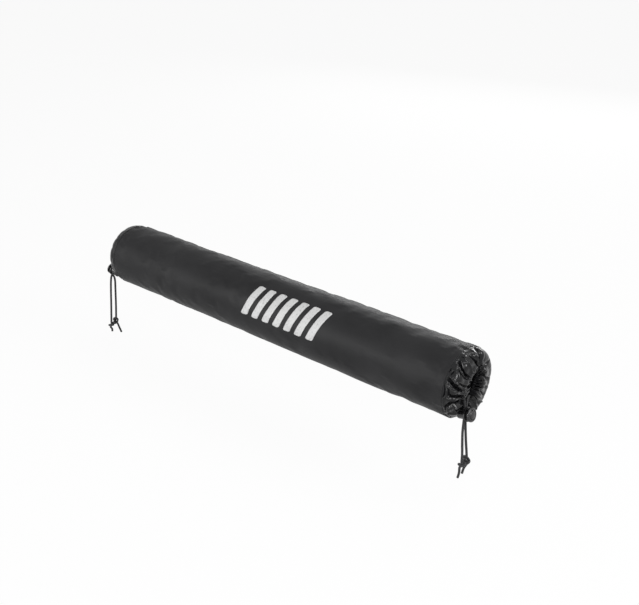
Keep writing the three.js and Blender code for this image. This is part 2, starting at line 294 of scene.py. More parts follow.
def frames_along(path: np.ndarray) -> tuple[np.ndarray, np.ndarray]:
    """Directions square to a path that don't twist along it.

    Args:
        path: The path's points.

    Returns:
        Two unit vectors for each point.
    """
    tangents = np.gradient(path, axis=0)
    tangents /= np.linalg.norm(tangents, axis=1)[:, None]
    side = np.cross(tangents[0], [0, 0, 1] if abs(tangents[0][2]) < 0.9 else [1, 0, 0])
    sides = []
    for tangent in tangents:
        side = side - tangent * (side @ tangent)
        side = side / np.linalg.norm(side)
        sides.append(side)
    first = np.array(sides)
    return first, np.cross(tangents, first)


def set_inputs(node: bpy.types.Node, inputs: dict[str | int, object]) -> None:
    """Gives inputs of a node, by name or number, a value or the output socket that drives them."""
    for key, value in inputs.items():
        if isinstance(value, Socket):
            node.id_data.links.new(value, node.inputs[key])
        else:
            node.inputs[key].default_value = value


def add_node(
    tree: Tree, kind: str, inputs: dict[str | int, object] | None = None, **settings: object
) -> bpy.types.Node:
    """Adds one node to a tree.

    Args:
        tree: The tree.
        kind: The node's type.
        inputs: A value or an output socket for each input, by name or number.
        settings: The node's own options.

    Returns:
        The node.
    """
    made = tree.nodes.new(kind)
    for option, value in settings.items():
        setattr(made, option, value)
    set_inputs(made, inputs or {})
    return made


def ramp(tree: Tree, factor: Socket, stops: Sequence[tuple[float, str]]) -> Socket:
    """Adds a colour ramp and gives its colour output.

    Args:
        tree: The material's tree.
        factor: What drives it.
        stops: Place and hex colour of each stop.

    Returns:
        The ramp's colour.
    """
    made = add_node(tree, "ShaderNodeValToRGB", {0: factor})
    elements = made.color_ramp.elements
    for element, (place, colour) in zip(elements, stops, strict=True):
        element.position = place
        element.color = linear(colour)
    return made.outputs["Color"]


def spread(tree: Tree, value: Socket, low: float, high: float) -> Socket:
    """Maps a value from 0 to 1 onto another range."""
    return add_node(tree, "ShaderNodeMapRange", {0: value, 3: low, 4: high}).outputs[0]


def combined(tree: Tree, first: Socket, second: Socket, operation: str) -> Socket:
    """Joins two values by one operation."""
    return add_node(tree, "ShaderNodeMath", {0: first, 1: second}, operation=operation).outputs[0]


def noise(tree: Tree, place: Socket, scale: float, detail: float, **more: float) -> Socket:
    """Adds a noise of a scale and a detail, and gives its value."""
    inputs = {"Vector": place, "Scale": scale, "Detail": detail, **more}
    return add_node(tree, "ShaderNodeTexNoise", inputs).outputs["Fac"]


def bump(tree: Tree, height: Socket, strength: float, depth: float, **more: Socket) -> Socket:
    """Adds a bump of a depth in millimetres, and gives its normal."""
    inputs = {"Height": height, "Strength": strength, "Distance": depth * MM, **more}
    return add_node(tree, "ShaderNodeBump", inputs).outputs[0]


def bands(tree: Tree, place: Socket, wavelength: float, axis: str) -> Socket:
    """Even bands a stated distance apart, in the units of the coordinates."""
    inputs = {"Vector": place, "Scale": 2 * math.pi / (20 * wavelength), "Distortion": 0.0}
    return add_node(tree, "ShaderNodeTexWave", inputs, bands_direction=axis).outputs["Fac"]


def threads(tree: Tree, cloth: Socket, spacing: float) -> Socket:
    """A plain weave, its threads a stated distance apart both ways."""
    return combined(tree, bands(tree, cloth, spacing, "X"), bands(tree, cloth, spacing, "Y"), "MAXIMUM")


def solid_place(tree: Tree) -> Socket:
    """Coordinates through the whole piece, in metres."""
    return add_node(tree, "ShaderNodeTexCoord").outputs["Object"]


def cloth_place(tree: Tree) -> Socket:
    """Coordinates along the cloth, in millimetres."""
    return add_node(tree, "ShaderNodeUVMap", uv_map=CLOTH_MAP).outputs[0]


class Finish:
    """A material of one shader, whose looks each kind of cloth, plastic or metal gives."""

    name: str

    def looks(self, tree: Tree) -> dict[str | int, object]:
        """The shader's inputs by name, with the nodes that drive them added to the tree."""
        raise NotImplementedError

    def build(self) -> Material:
        """Makes the material."""
        made = bpy.data.materials.new(self.name)
        made.use_nodes = True
        made.node_tree.nodes.clear()
        shader = add_node(made.node_tree, "ShaderNodeBsdfPrincipled")
        add_node(made.node_tree, "ShaderNodeOutputMaterial", {"Surface": shader.outputs[0]})
        set_inputs(shader, self.looks(made.node_tree))
        return made


@dataclass(frozen=True)
class CoatedPolyester(Finish):
    """Tightly woven polyester with a polyurethane coat: a dark satin cloth with a faint plain weave."""

    dark: str = "#141415"
    light: str = "#252526"
    thread_spacing: float = 1.1  # the real one is about 0.5, too fine to show
    thread_depth: float = 0.06
    thread_strength: float = 0.35
    painted_thread_light: float = 0.35
    slub: float = 0.9
    cloud: float = 70.0
    roughness: tuple[float, float] = (0.44, 0.56)
    gloss: float = 0.12
    name: str = "coated_polyester"

    def looks(self, tree: Tree) -> dict[str | int, object]:
        """A plain weave with slubs, under slow clouds of colour and gloss, its threads' crowns lightened as painted
        highlight.
        """
        cloth = cloth_place(tree)
        clouds = noise(tree, solid_place(tree), 1 / (self.cloud * MM), 4.0, Roughness=0.55)
        weave = threads(tree, cloth, self.thread_spacing)
        colour = ramp(tree, clouds, [(0.3, self.dark), (0.7, self.light)])
        # Painted highlight and shade: the weave lightens the threads' crowns and leaves the gaps between them darker.
        painted_weave_light = {0: spread(tree, weave, 0.0, self.painted_thread_light), 6: colour, 7: linear(self.light)}
        height = combined(tree, weave, noise(tree, cloth, self.slub, 2.0), "MULTIPLY")
        return {
            "Base Color": add_node(tree, "ShaderNodeMix", painted_weave_light, data_type="RGBA").outputs[2],
            "Roughness": spread(tree, clouds, *self.roughness),
            "Normal": bump(tree, height, self.thread_strength, self.thread_depth),
            "Specular IOR Level": self.gloss,
        }


@dataclass(frozen=True)
class ThinNylon(Finish):
    """Calendered nylon taffeta: nearly black, with long sharp glints where it is drawn into creases."""

    dark: str = "#070708"
    light: str = "#101012"
    crease: tuple[float, float] = (3.4, 17.0)  # width round the pad and length towards the mouth
    crease_depth: float = 0.5
    crease_strength: float = 0.22
    thread_spacing: float = 0.8  # the real one is about 0.2, too fine to show
    thread_depth: float = 0.01
    thread_strength: float = 0.1
    roughness: tuple[float, float] = (0.17, 0.27)
    gloss: float = 0.27
    painted_shade_span: tuple[float, float] = (31.0, 42.0)  # from the seam, where the gloss fades as painted shade, for the shade of pleats too fine to show
    painted_shade_gloss: float = 0.03
    name: str = "calendered_nylon"

    def looks(self, tree: Tree) -> dict[str | int, object]:
        """Creases drawn out towards the mouth over a fine weave, with painted shade near the mouth where the gloss
        falls.
        """
        cloth = cloth_place(tree)
        width, length = self.crease
        drawn = add_node(tree, "ShaderNodeMapping", {"Vector": cloth, "Scale": (1 / width, 1 / length, 1)}).outputs[0]
        creases = noise(tree, drawn, 1.0, 1.0, Distortion=0.2)
        fine = bump(tree, threads(tree, cloth, self.thread_spacing), self.thread_strength, self.thread_depth)
        inward = add_node(tree, "ShaderNodeSeparateXYZ", {"Vector": cloth}).outputs["Y"]
        start, end = self.painted_shade_span
        # Painted shade: the gloss falls from its full level to almost none towards the mouth.
        held = {0: inward, 1: start, 2: end, 3: self.gloss, 4: self.painted_shade_gloss}
        return {
            # The crease noise also darkens the creases' valleys and lightens their crests a little: painted shade and
            # painted highlight.
            "Base Color": ramp(tree, creases, [(0.3, self.dark), (0.75, self.light)]),
            "Roughness": spread(tree, creases, *self.roughness),
            "Normal": bump(tree, creases, self.crease_strength, self.crease_depth, Normal=fine),
            "Specular IOR Level": add_node(tree, "ShaderNodeMapRange", held).outputs[0],
        }


@dataclass(frozen=True)
class BraidedPolyester(Finish):
    """Sixteen-strand braid of dull polyester yarn, with painted shade between the yarns."""

    dark: str = "#070708"
    light: str = "#18181b"
    pick: float = 1.3
    yarn_angle: float = 52
    yarn_depth: float = 0.15
    yarn_strength: float = 0.5
    roughness: float = 0.72
    sheen: float = 0.1
    name: str = "braided_polyester"

    def looks(self, tree: Tree) -> dict[str | int, object]:
        """Two sets of slanting yarns, the upper one in front."""
        cloth = cloth_place(tree)
        yarns = []
        for angle in (self.yarn_angle, -self.yarn_angle):
            turned = {"Vector": cloth, "Rotation": (0, 0, math.radians(angle))}
            yarns.append(bands(tree, add_node(tree, "ShaderNodeMapping", turned).outputs[0], self.pick, "X"))
        braid = combined(tree, *yarns, "MAXIMUM")
        # Painted shade: the colour darkens where the braid's bands are low, between the yarns, under a random tone.
        shade = combined(tree, braid, noise(tree, cloth, 3.0, 3.0), "MULTIPLY")
        return {
            "Base Color": ramp(tree, shade, [(0.15, self.dark), (0.7, self.light)]),
            "Normal": bump(tree, braid, self.yarn_strength, self.yarn_depth),
            "Roughness": self.roughness,
            "Sheen Weight": self.sheen,
            "Sheen Roughness": 0.5,
        }


@dataclass(frozen=True)
class MouldedAcetal(Finish):
    """Injection-moulded acetal: black, waxy satin, with a very fine spark-eroded grain."""

    colour: str = "#131314"
    worn: str = "#1f1f20"
    grain: float = 0.5
    grain_depth: float = 0.05
    grain_strength: float = 0.12
    handled: float = 4.0
    roughness: tuple[float, float] = (0.2, 0.3)
    refraction: float = 1.48
    name: str = "moulded_acetal"

    def looks(self, tree: Tree) -> dict[str | int, object]:
        """A fine grain, with a gloss that handling has changed."""
        place = solid_place(tree)
        handling = noise(tree, place, 1 / (self.handled * MM), 3.0)
        grain = noise(tree, place, 1 / (self.grain * MM), 2.0)
        return {
            "Base Color": ramp(tree, handling, [(0.35, self.colour), (0.8, self.worn)]),
            "Roughness": spread(tree, handling, *self.roughness),
            "Normal": bump(tree, grain, self.grain_strength, self.grain_depth),
            "IOR": self.refraction,
        }


@dataclass(frozen=True)
class SpringSteel(Finish):
    """Bright drawn spring wire with faint die lines."""

    colour: str = "#b4b4b0"
    die_lines: float = 0.25
    roughness: tuple[float, float] = (0.22, 0.34)
    name: str = "spring_steel"

    def looks(self, tree: Tree) -> dict[str | int, object]:
        """Die lines in the gloss."""
        lines = noise(tree, solid_place(tree), 1 / (self.die_lines * MM), 2.0)
        return {
            "Base Color": linear(self.colour),
            "Roughness": spread(tree, lines, *self.roughness),
            "Metallic": 1.0,
        }


@dataclass(frozen=True)
class PrintedInk(Finish):
    """Screen-printed plastisol ink: light grey, satin, with the weave just showing and small rubs."""

    colour: str = "#b9b9b9"
    rubbed: str = "#9d9d9d"
    rub: float = 0.35
    thread_spacing: float = 1.1  # as the sleeve's
    thread_depth: float = 0.05
    thread_strength: float = 0.25
    roughness: float = 0.5
    name: str = "printed_ink"

    def looks(self, tree: Tree) -> dict[str | int, object]:
        """Rubs in the colour over the weave."""
        cloth = cloth_place(tree)
        weave = threads(tree, cloth, self.thread_spacing)
        return {
            "Base Color": ramp(tree, noise(tree, cloth, self.rub, 5.0), [(0.3, self.rubbed), (0.45, self.colour)]),
            "Normal": bump(tree, weave, self.thread_strength, self.thread_depth),
            "Roughness": self.roughness,
        }


@dataclass(frozen=True)
class ClosedCellFoam(Finish):
    """Extruded polyethylene foam: matte dark grey, with the skin of its cells showing."""

    colour: str = "#2c2c2e"
    cell_wall: str = "#3a3a3c"
    cell: float = 1.6
    cell_depth: float = 0.3
    cell_strength: float = 0.6
    roughness: float = 0.95
    name: str = "closed_cell_foam"

    def looks(self, tree: Tree) -> dict[str | int, object]:
        """Cells with lighter walls."""
        inputs = {"Vector": solid_place(tree), "Scale": 1 / (self.cell * MM)}
        cells = add_node(tree, "ShaderNodeTexVoronoi", inputs, feature="DISTANCE_TO_EDGE").outputs["Distance"]
        return {
            "Base Color": ramp(tree, cells, [(0.0, self.cell_wall), (0.12, self.colour)]),
            "Normal": bump(tree, cells, self.cell_strength, self.cell_depth),
            "Roughness": self.roughness,
        }


@dataclass(frozen=True)
class SewingThread(Finish):
    """Bonded polyester thread: black with a soft shine."""

    colour: str = "#1a1a1c"
    light: str = "#2c2c2f"
    twist: float = 0.4
    roughness: float = 0.5
    sheen: float = 0.2
    name: str = "sewing_thread"

    def looks(self, tree: Tree) -> dict[str | int, object]:
        """Twist in the colour."""
        twist = noise(tree, solid_place(tree), 1 / (self.twist * MM), 1.0)
        return {
            "Base Color": ramp(tree, twist, [(0.35, self.colour), (0.65, self.light)]),
            "Roughness": self.roughness,
            "Sheen Weight": self.sheen,
        }


class End(Enum):
    """The pad's two ends, by the side of the picture that they are on."""

    RIGHT = "right"
    LEFT = "left"

    @property
    def outward(self) -> int:
        """Which way along X the end points."""
        return 1 if self is End.RIGHT else -1


@dataclass(frozen=True)
class Strand:
    """A cord end that hangs from a lock: its side of the lock, its route, its cut end and how its knot is turned."""

    name: str
    side: int
    route: tuple[tuple[float, float, float], ...]
    stub: tuple[float, float, float]
    knot_turn: float


@dataclass(frozen=True)
class EndPlan:
    """Where the mouth and the lock stand at one end, in the end's own frame: outwards, to the printed side, up."""

    end: End
    lock_angle: float
    lock_inset: float
    lock_turn: float
    mouth_tilt: float
    mouth_centre: tuple[float, float]
    pleat_shift: float
    strands: tuple[Strand, Strand]


PLANS = (
    EndPlan(
        End.RIGHT,
        lock_angle=62.4,
        lock_inset=10.8,
        lock_turn=24,
        mouth_tilt=60,
        mouth_centre=(1, 0.5),
        pleat_shift=0.4,
        strands=(
            Strand(
                "near",
                side=1,
                route=((1.2, 2.3, -4.2), (2.3, 4.7, -12.2), (3.3, 5.1, -27), (3.8, 3.8, -45), (3.6, 3.3, -56)),
                stub=(-2.5, 1.9, -18.4),
                knot_turn=200,
            ),
            Strand(
                "far",
                side=-1,
                route=((0.9, 0.9, -3.5), (2.2, 1.6, -12), (3.4, 0.6, -28), (4.2, -1.2, -42), (4.4, -2.8, -52)),
                stub=(-3, 3.4, -19.1),
                knot_turn=20,
            ),
        ),
    ),
    EndPlan(
        End.LEFT,
        lock_angle=33,
        lock_inset=6.4,
        lock_turn=42,
        mouth_tilt=38,
        mouth_centre=(8, 2.5),
        pleat_shift=2.1,
        strands=(
            Strand(
                "near",
                side=1,
                route=((1.4, 1.7, -4), (2.6, 2.4, -11), (3.9, 3.5, -27), (4.7, 5.3, -50), (5.3, 8.4, -81)),
                stub=(-1, 0.3, -11),
                knot_turn=160,
            ),
            Strand(
                "far",
                side=-1,
                route=((1, -0.9, -4), (1.5, -2.2, -10), (2.8, -2, -27), (4.3, -0.7, -55), (5.3, 0.9, -76)),
                stub=(-1.5, -6.5, -21.9),
                knot_turn=40,
            ),
        ),
    ),
)


@dataclass(frozen=True)
class Sizes:
    """The pad's main sizes, as the frame has them."""

    pad_radius: float = 44
    seam_x: float = 287
    fabric: float = 1
    clearance: float = 0.3
    lap_width: float = 11
    lap_rise: float = 0.9
    lap_angle: float = -48
    lap_rows: tuple[float, float] = (-3.4, 2.6)  # the stitching's place across the lap
    bore_radius: float = 18
    collar_depth: float = 16
    shoulder_width: float = 12
    shoulder_power: float = 2.8
    pleat_count: int = 13
    mouth_straight: float = 22
    mouth_bend: float = 6.5
    cord_radius: float = 1.5
    hem_inner: float = 2.5
    exit_reach: float = 15
    cord_x: float = 298
    lock_outset: float = 4.6
    lock_tilt: float = 15
    barrel_radius: float = 6.2
    barrel_back: float = -8.2
    flange_start: float = 2.9
    flange_end: float = 4.3
    flange_radius: float = 8.8
    button_start: float = 7.6
    button_radius: float = 8.7
    button_dome: float = 3.8
    spring_ends: tuple[float, float] = (-6.77, -3.43)
    spring_turns: int = 3
    spring_radius: float = 3.96
    spring_wire: float = 0.28
    strand_spacing: float = 3.3
    knot_radius: float = 3.3
    print_centre: float = 43
    print_angle: float = 34
    bar_count: int = 7
    bar_width: float = 11
    bar_gap: float = 7.5
    bar_slant: float = 15
    bar_height: float = 44

    @property
    def mouth_around(self) -> float:
        """Length of the drawcord's line round the mouth."""
        return 2 * self.mouth_straight + 2 * math.pi * self.mouth_bend

    @property
    def lap_turn(self) -> float:
        """Turn of the sleeve's lapped seam."""
        return math.radians(self.lap_angle) + math.pi


S = Sizes()


class EndFrame:
    """Places of the mouth, the lock and the strands at one end."""

    def __init__(self, plan: EndPlan) -> None:
        """Keeps the plan and turns its angles into vectors."""
        self.plan = plan
        tilt = math.radians(plan.mouth_tilt)
        self.along = np.array([math.cos(tilt), -math.sin(tilt)])
        self.across = np.array([math.sin(tilt), math.cos(tilt)])
        angle = math.radians(plan.lock_angle)
        self.lock_place = np.array([math.cos(angle), -math.sin(angle)]) * (S.pad_radius - plan.lock_inset)
        reach = (1 - S.barrel_back) * math.cos(math.radians(S.lock_tilt))
        self.pocket_floor = S.cord_x + S.lock_outset - reach - S.barrel_radius * math.sin(math.radians(S.lock_tilt))

    def world(self, outward: np.ndarray, place: np.ndarray) -> np.ndarray:
        """Turns places in the end's frame into the pad's frame."""
        sign = self.plan.end.outward
        return np.stack([sign * outward, -place[..., 0], place[..., 1]], axis=-1)

    def mouth_at(self, share: np.ndarray) -> tuple[np.ndarray, np.ndarray]:
        """The drawcord's line round the mouth.

        Args:
            share: Share of its length from the end next to the lock.

        Returns:
            Places, and the direction away from the mouth at each.
        """
        share = np.asarray(share, float)
        quarter = math.pi / 2 * S.mouth_bend
        returning = share > 0.5
        s = np.where(returning, 1 - share, share) * S.mouth_around
        straight = np.clip(s - quarter, 0, S.mouth_straight)
        bend = (s - straight) / S.mouth_bend
        sign = np.where(returning, -1, 1)
        away = np.cos(bend)[..., None] * self.along + (sign * np.sin(bend))[..., None] * self.across
        middle = np.array(self.plan.mouth_centre) + (S.mouth_straight / 2 - straight)[..., None] * self.along
        return middle + away * S.mouth_bend, away

    def seam_angle(self, turn: np.ndarray) -> np.ndarray:
        """The angle at the seam for each turn of the mouth."""
        return self.wander(turn) - self.wander(0) - math.radians(self.plan.mouth_tilt)

    def wander(self, turn: np.ndarray | float) -> np.ndarray | float:
        """A turn with the slight unevenness of the gathers."""
        shift = self.plan.pleat_shift
        return turn + 0.1 * np.sin(2 * turn + shift) + 0.05 * np.sin(3 * turn + 2.1 * shift)

    def ceiling(self, place: np.ndarray) -> np.ndarray:
        """The highest that the collar may be at each place, because of the lock and its strands."""
        slope = 1.5
        tip = self.mouth_at(np.array(0.0))[0]
        line = self.lock_place - tip
        t = np.clip((place - tip) @ line / (line @ line), 0, 1.2)
        distance = np.linalg.norm(place - tip - t[..., None] * line, axis=-1)
        return self.pocket_floor + np.maximum(0, distance - S.barrel_radius - 1) * slope

    def hem(self, share: np.ndarray, radius: np.ndarray, step: float) -> tuple[np.ndarray, np.ndarray]:
        """The hem's section round the cord.

        Args:
            share: Share of the mouth's line.
            radius: Distance from the cord's line.
            step: From 0 below the cord to 3 at the hem's edge.

        Returns:
            Places and levels.
        """
        place, away = self.mouth_at(share)
        from_tip = np.minimum(share, 1 - share) * S.mouth_around
        curl = smoothstep(from_tip, 0.6 * S.exit_reach, 1.1 * S.exit_reach)
        sink = 1 - smoothstep(from_tip, 0.3 * S.exit_reach, 0.6 * S.exit_reach)
        a = -math.pi / 2 - np.radians(6 + 64 * curl) * step
        drop = min(0, self.pocket_floor + S.hem_inner - S.cord_x) * sink
        return place + away * (radius * np.cos(a))[..., None], S.cord_x + radius * np.sin(a) + drop

    @property
    def lock_axes(self) -> tuple[np.ndarray, np.ndarray]:
        """The lock's middle, and its axes as rows: along, sideways and up."""
        hand = -self.plan.end.outward
        turn = math.radians(self.plan.lock_turn)
        tilt = math.radians(S.lock_tilt)
        rows = [(math.cos(tilt), 0.0, math.sin(tilt))]
        for v, z in ((hand * math.cos(turn), hand * math.sin(turn)), (-math.sin(turn), math.cos(turn))):
            rows.append((-z * math.sin(tilt), v, z * math.cos(tilt)))
        axes = np.array(rows)
        origin = self.world(np.array(S.cord_x + S.lock_outset), self.lock_place)
        return origin, self.world(axes[:, 0], axes[:, 1:])

    def strand_in_lock(self, side: int, up: float) -> np.ndarray:
        """A point on one of the two strands through the lock."""
        origin, axes = self.lock_axes
        across = -self.plan.end.outward * side * S.strand_spacing / 2
        return origin + np.array([0.0, across, up]) @ axes

    def drawcord_points(self) -> np.ndarray:
        """Up through the lock, round the mouth in the hem and back down through the lock."""
        r, points = S.barrel_radius, 23
        levels = (-r - S.clearance, -r / 2, 0, r / 2, r + 1.2)
        leave = 0.9 * S.mouth_bend / S.mouth_around
        place, _ = self.mouth_at(np.linspace(leave, 1 - leave, points))
        in_hem = self.world(np.full(points, S.cord_x), place)
        up, down = ([self.strand_in_lock(side, level) for level in levels] for side in (1, -1))
        return np.vstack([up, in_hem, down[::-1]])

    def tail_points(self, strand: Strand) -> np.ndarray:
        """From the lock down to the knot."""
        start = self.strand_in_lock(strand.side, -S.barrel_radius - 2 * S.clearance)
        second = self.strand_in_lock(strand.side, -S.barrel_radius - 2 * S.clearance - S.cord_radius)
        route = np.array(strand.route)
        return np.vstack([start, second, start + self.world(route[:, 0], route[:, 1:])])


@dataclass(frozen=True)
class Fold:
    """One valley or ridge of the gathers.

    Its line is in turn round the pad in degrees, 0 to the printed side and 90 up, and in distance from the seam.
    """

    line: tuple[tuple[float, float], ...]
    depth: float  # a ridge's is negative
    width: float
    power: float = 1.4  # how round its bottom is: 1 is sharp and 2 is round
    shoulder: float = 0.34  # share of the depth that it has over the shoulder
    starts: float = 8  # from the seam, where the full depth begins to come


RIGHT_FOLDS = (
    Fold(((110, 2), (105, 12), (106, 20), (112, 30.6), (130, 36)), 8.5, 2.4, 1.15, 0.9, 1),
    Fold(((64, 2.5), (54, 12.4), (50, 22), (52, 32)), 5.6, 1.6, 1.15, 0.85, 2),
    Fold(((31, 3), (24, 11.4), (20, 17.7), (14, 28.6)), 5.6, 1.8, 1.15, 0.85, 2),
    Fold(((9, 5), (6, 10.2), (5, 18.5), (-12, 34)), 5.8, 2.3, 1.15, 0.85, 2),
    Fold(((-14, 5), (-7, 12), (-9, 20), (-20, 31)), 6.0, 2.7, 1.15, 0.85, 2),
    Fold(((-34, 5), (-28, 16), (-48, 28)), 4.4, 2.6, 1.3, 0.8, 2),
    Fold(((150, 4), (146, 14), (142, 24.3), (131, 31.6)), 5.6, 3.0, 1.4, 0.05, 16),
    Fold(((-170, 4), (-172, 16), (-174, 26), (151, 37.4)), 4.2, 2.1, 1.4, 0.05, 16),
    Fold(((-138, 3), (-137, 16), (-137, 25.6), (-139, 37)), 4.4, 1.9, 1.4, 0.05, 16),
    Fold(((-118, 3), (-116, 16), (-115, 25.7), (-101, 36.4)), 4.2, 2.2, 1.4, 0.05, 16),
    Fold(((79, 4), (82, 15.2), (90, 23.6), (101, 31.3)), 4.4, 1.6, 1.15, 0.6, 4),
    Fold(((52, 8), (45, 15.2), (44, 24), (47, 30)), 3.6, 1.3, 1.15, 0.8, 2),
    Fold(((30, 17), (27, 24), (25, 34.3)), 3.6, 1.4, 1.15, 0.8, 2),
    Fold(((-66, 3), (-68, 14), (-74, 28)), 3.6, 2.6),
    Fold(((-48, 2), (-52, 10), (-58, 20)), 2.6, 8.0, 2.0, 1.0, 2),
    Fold(((125, 4), (121, 14), (124, 25)), 2.0, 2.2, 1.4, 0.05, 16),
    Fold(((-160, 6), (-156, 18), (-152, 30)), 2.6, 1.9, 1.4, 0.05, 16),
    Fold(((78, 1), (68, 12.5), (64, 28.9), (70, 34)), -2.8, 1.2, 1.1, 0.9, 1),
    Fold(((93, 3.5), (90, 15.5), (98, 25.9), (110, 32)), -2.0, 1.2, 1.1, 0.8, 2),
    Fold(((36, 3), (29, 11.6), (23, 29.3)), -1.8, 1.2, 1.1, 0.8, 2),
    Fold(((19, 5.9), (15, 16.7), (16, 32)), -1.8, 1.2, 1.1, 0.8, 2),
    Fold(((-24, 4.5), (-17, 17), (-30, 31)), -2.6, 1.3, 1.1, 0.8, 2),
    Fold(((-125, 14), (-121, 28.4), (-110, 45.5)), -2.2, 1.1, 1.0),
    Fold(((-104, 16), (-104, 26), (-98, 38.6)), -2.0, 1.1, 1.0),
)


class FoldField:
    """The sum of an end's folds, as a height over its smooth collar."""

    unrolled = 60.0

    def __init__(self, folds: Sequence[Fold]) -> None:
        """Keeps the folds with their lines laid out flat."""
        lines = [np.array(fold.line) for fold in folds]
        self.folds = [(fold, self.flat(np.radians(line[:, 0]), line[:, 1])) for fold, line in zip(folds, lines)]

    def flat(self, turn: np.ndarray, inward: np.ndarray) -> np.ndarray:
        """Lays places out flat, the seam as a circle round the mouth."""
        reach = np.maximum(self.unrolled - inward, 0)
        return np.stack([reach * np.cos(turn), reach * np.sin(turn)], axis=-1)

    def height(self, turn: np.ndarray, inward: np.ndarray) -> np.ndarray:
        """How far the folds move the cloth outwards.

        Args:
            turn: Turn round the pad in radians.
            inward: Distance from the seam.

        Returns:
            The move along the normal at each place.
        """
        place = self.flat(turn, inward)
        total = np.zeros(place.shape[:-1])
        for fold, line in self.folds:
            nearest = np.full(total.shape, 1e9)
            along = np.zeros(total.shape)
            walked = 0.0
            for a, b in zip(line[:-1], line[1:]):
                span = b - a
                t = np.clip((place - a) @ span / (span @ span), 0, 1)
                distance = np.linalg.norm(place - a - t[..., None] * span, axis=-1)
                closer = distance < nearest
                nearest = np.where(closer, distance, nearest)
                along = np.where(closer, walked + t * np.linalg.norm(span), along)
                walked += np.linalg.norm(span)
            fade = smoothstep(along, -2, (0.3 - 0.22 * fold.shoulder) * walked)
            fade *= 1 - 0.5 * smoothstep(along, 0.85 * walked, walked + 2)
            deeper = smoothstep(inward, fold.starts, fold.starts + 16)
            shoulder = fold.shoulder + (1 - fold.shoulder) * deeper
            total -= fold.depth * fade * shoulder * np.exp(-((nearest / fold.width) ** fold.power))
        return total


def tube(name: str, path: np.ndarray, radii: np.ndarray, material: Material) -> Piece:
    """A closed tube along a path.

    Args:
        name: The piece's name.
        path: Evenly spaced points.
        radii: A radius for each point, or for each point and side.
        material: Its finish.

    Returns:
        The tube, with its length and its way round as its coordinates.
    """
    sides = radii.shape[1]
    turn = full_turn(sides)
    first, second = frames_along(path)
    across = np.cos(turn)[None, :, None] * first[:, None] + np.sin(turn)[None, :, None] * second[:, None]
    rings = path[:, None] + radii[..., None] * across
    points = np.vstack([rings.reshape(-1, 3), path[:1], path[-1:]])
    walked = np.concatenate([[0], np.cumsum(np.linalg.norm(np.diff(path, axis=0), axis=1))])
    uv = grid_uv(np.linspace(0, 2 * math.pi * float(radii.mean()), sides + 1), walked)
    last = (len(path) - 1) * sides
    caps = [[len(points) - 2, (j + 1) % sides, j] for j in range(sides)]
    caps += [[len(points) - 1, last + j, last + (j + 1) % sides] for j in range(sides)]
    faces = [*grid_faces(len(path), sides), *caps]
    made = mesh_object(name, points, faces, material, np.vstack([uv, np.zeros((len(caps) * 3, 2))]))
    return turned_outwards(made)


class CordPiece:
    """A round braided cord along a route."""

    sides = 20
    yarns = 5
    yarn_slant = 2.6
    yarn_sink = 0.05
    yarn_height = 0.07

    def __init__(self, name: str, points: np.ndarray, material: Material, step: float = 0.6) -> None:
        """Builds the tube.

        Args:
            name: The piece's name.
            points: Its route's points.
            material: Its finish.
            step: Distance from ring to ring.
        """
        curve = CentripetalCurve(points)
        self.path = curve.spaced(step)
        self.length = curve.length
        walked = np.linspace(0, self.length, len(self.path))[:, None]
        turn, slant = self.yarns * full_turn(self.sides)[None, :], self.yarn_slant * walked
        yarn = np.maximum(np.sin(turn + slant), np.sin(turn - slant))
        self.piece = tube(name, self.path, S.cord_radius - self.yarn_sink + self.yarn_height * yarn, material)


@dataclass
class PadCamera:
    """The camera that took the picture, fitted to the pad's outline."""

    azimuth: float = 39.91
    elevation: float = 26.46
    place_mm: tuple[float, float, float] = (729.6, -785.3, 543.1)
    focal_pixels: float = 900
    picture_width: float = 639
    sensor_mm: float = 36

    def build(self) -> Piece:
        """Makes it the scene's camera."""
        a, e = math.radians(self.azimuth), math.radians(self.elevation)
        ahead = Vector((-math.sin(a) * math.cos(e), math.cos(a) * math.cos(e), -math.sin(e)))
        right = Vector((math.cos(a), math.sin(a), 0))
        up = right.cross(ahead)
        data = bpy.data.cameras.new("camera")
        data.sensor_fit = "HORIZONTAL"
        data.sensor_width = self.sensor_mm
        data.lens = self.focal_pixels / self.picture_width * self.sensor_mm
        data.clip_start, data.clip_end = 0.05, 60
        made = bpy.data.objects.new("camera", data)
        bpy.context.scene.collection.objects.link(made)
        columns = Matrix((right, up, -ahead)).transposed().to_4x4()
        made.matrix_world = Matrix.Translation(Vector(self.place_mm) * MM) @ columns
        bpy.context.scene.camera = made
        return made


@dataclass(frozen=True)
class Lamp:
    """A softbox: where it stands, how large it is and how strong, in metres and watts."""

    name: str
    place: tuple[float, float, float]
    size: tuple[float, float]
    watts: float


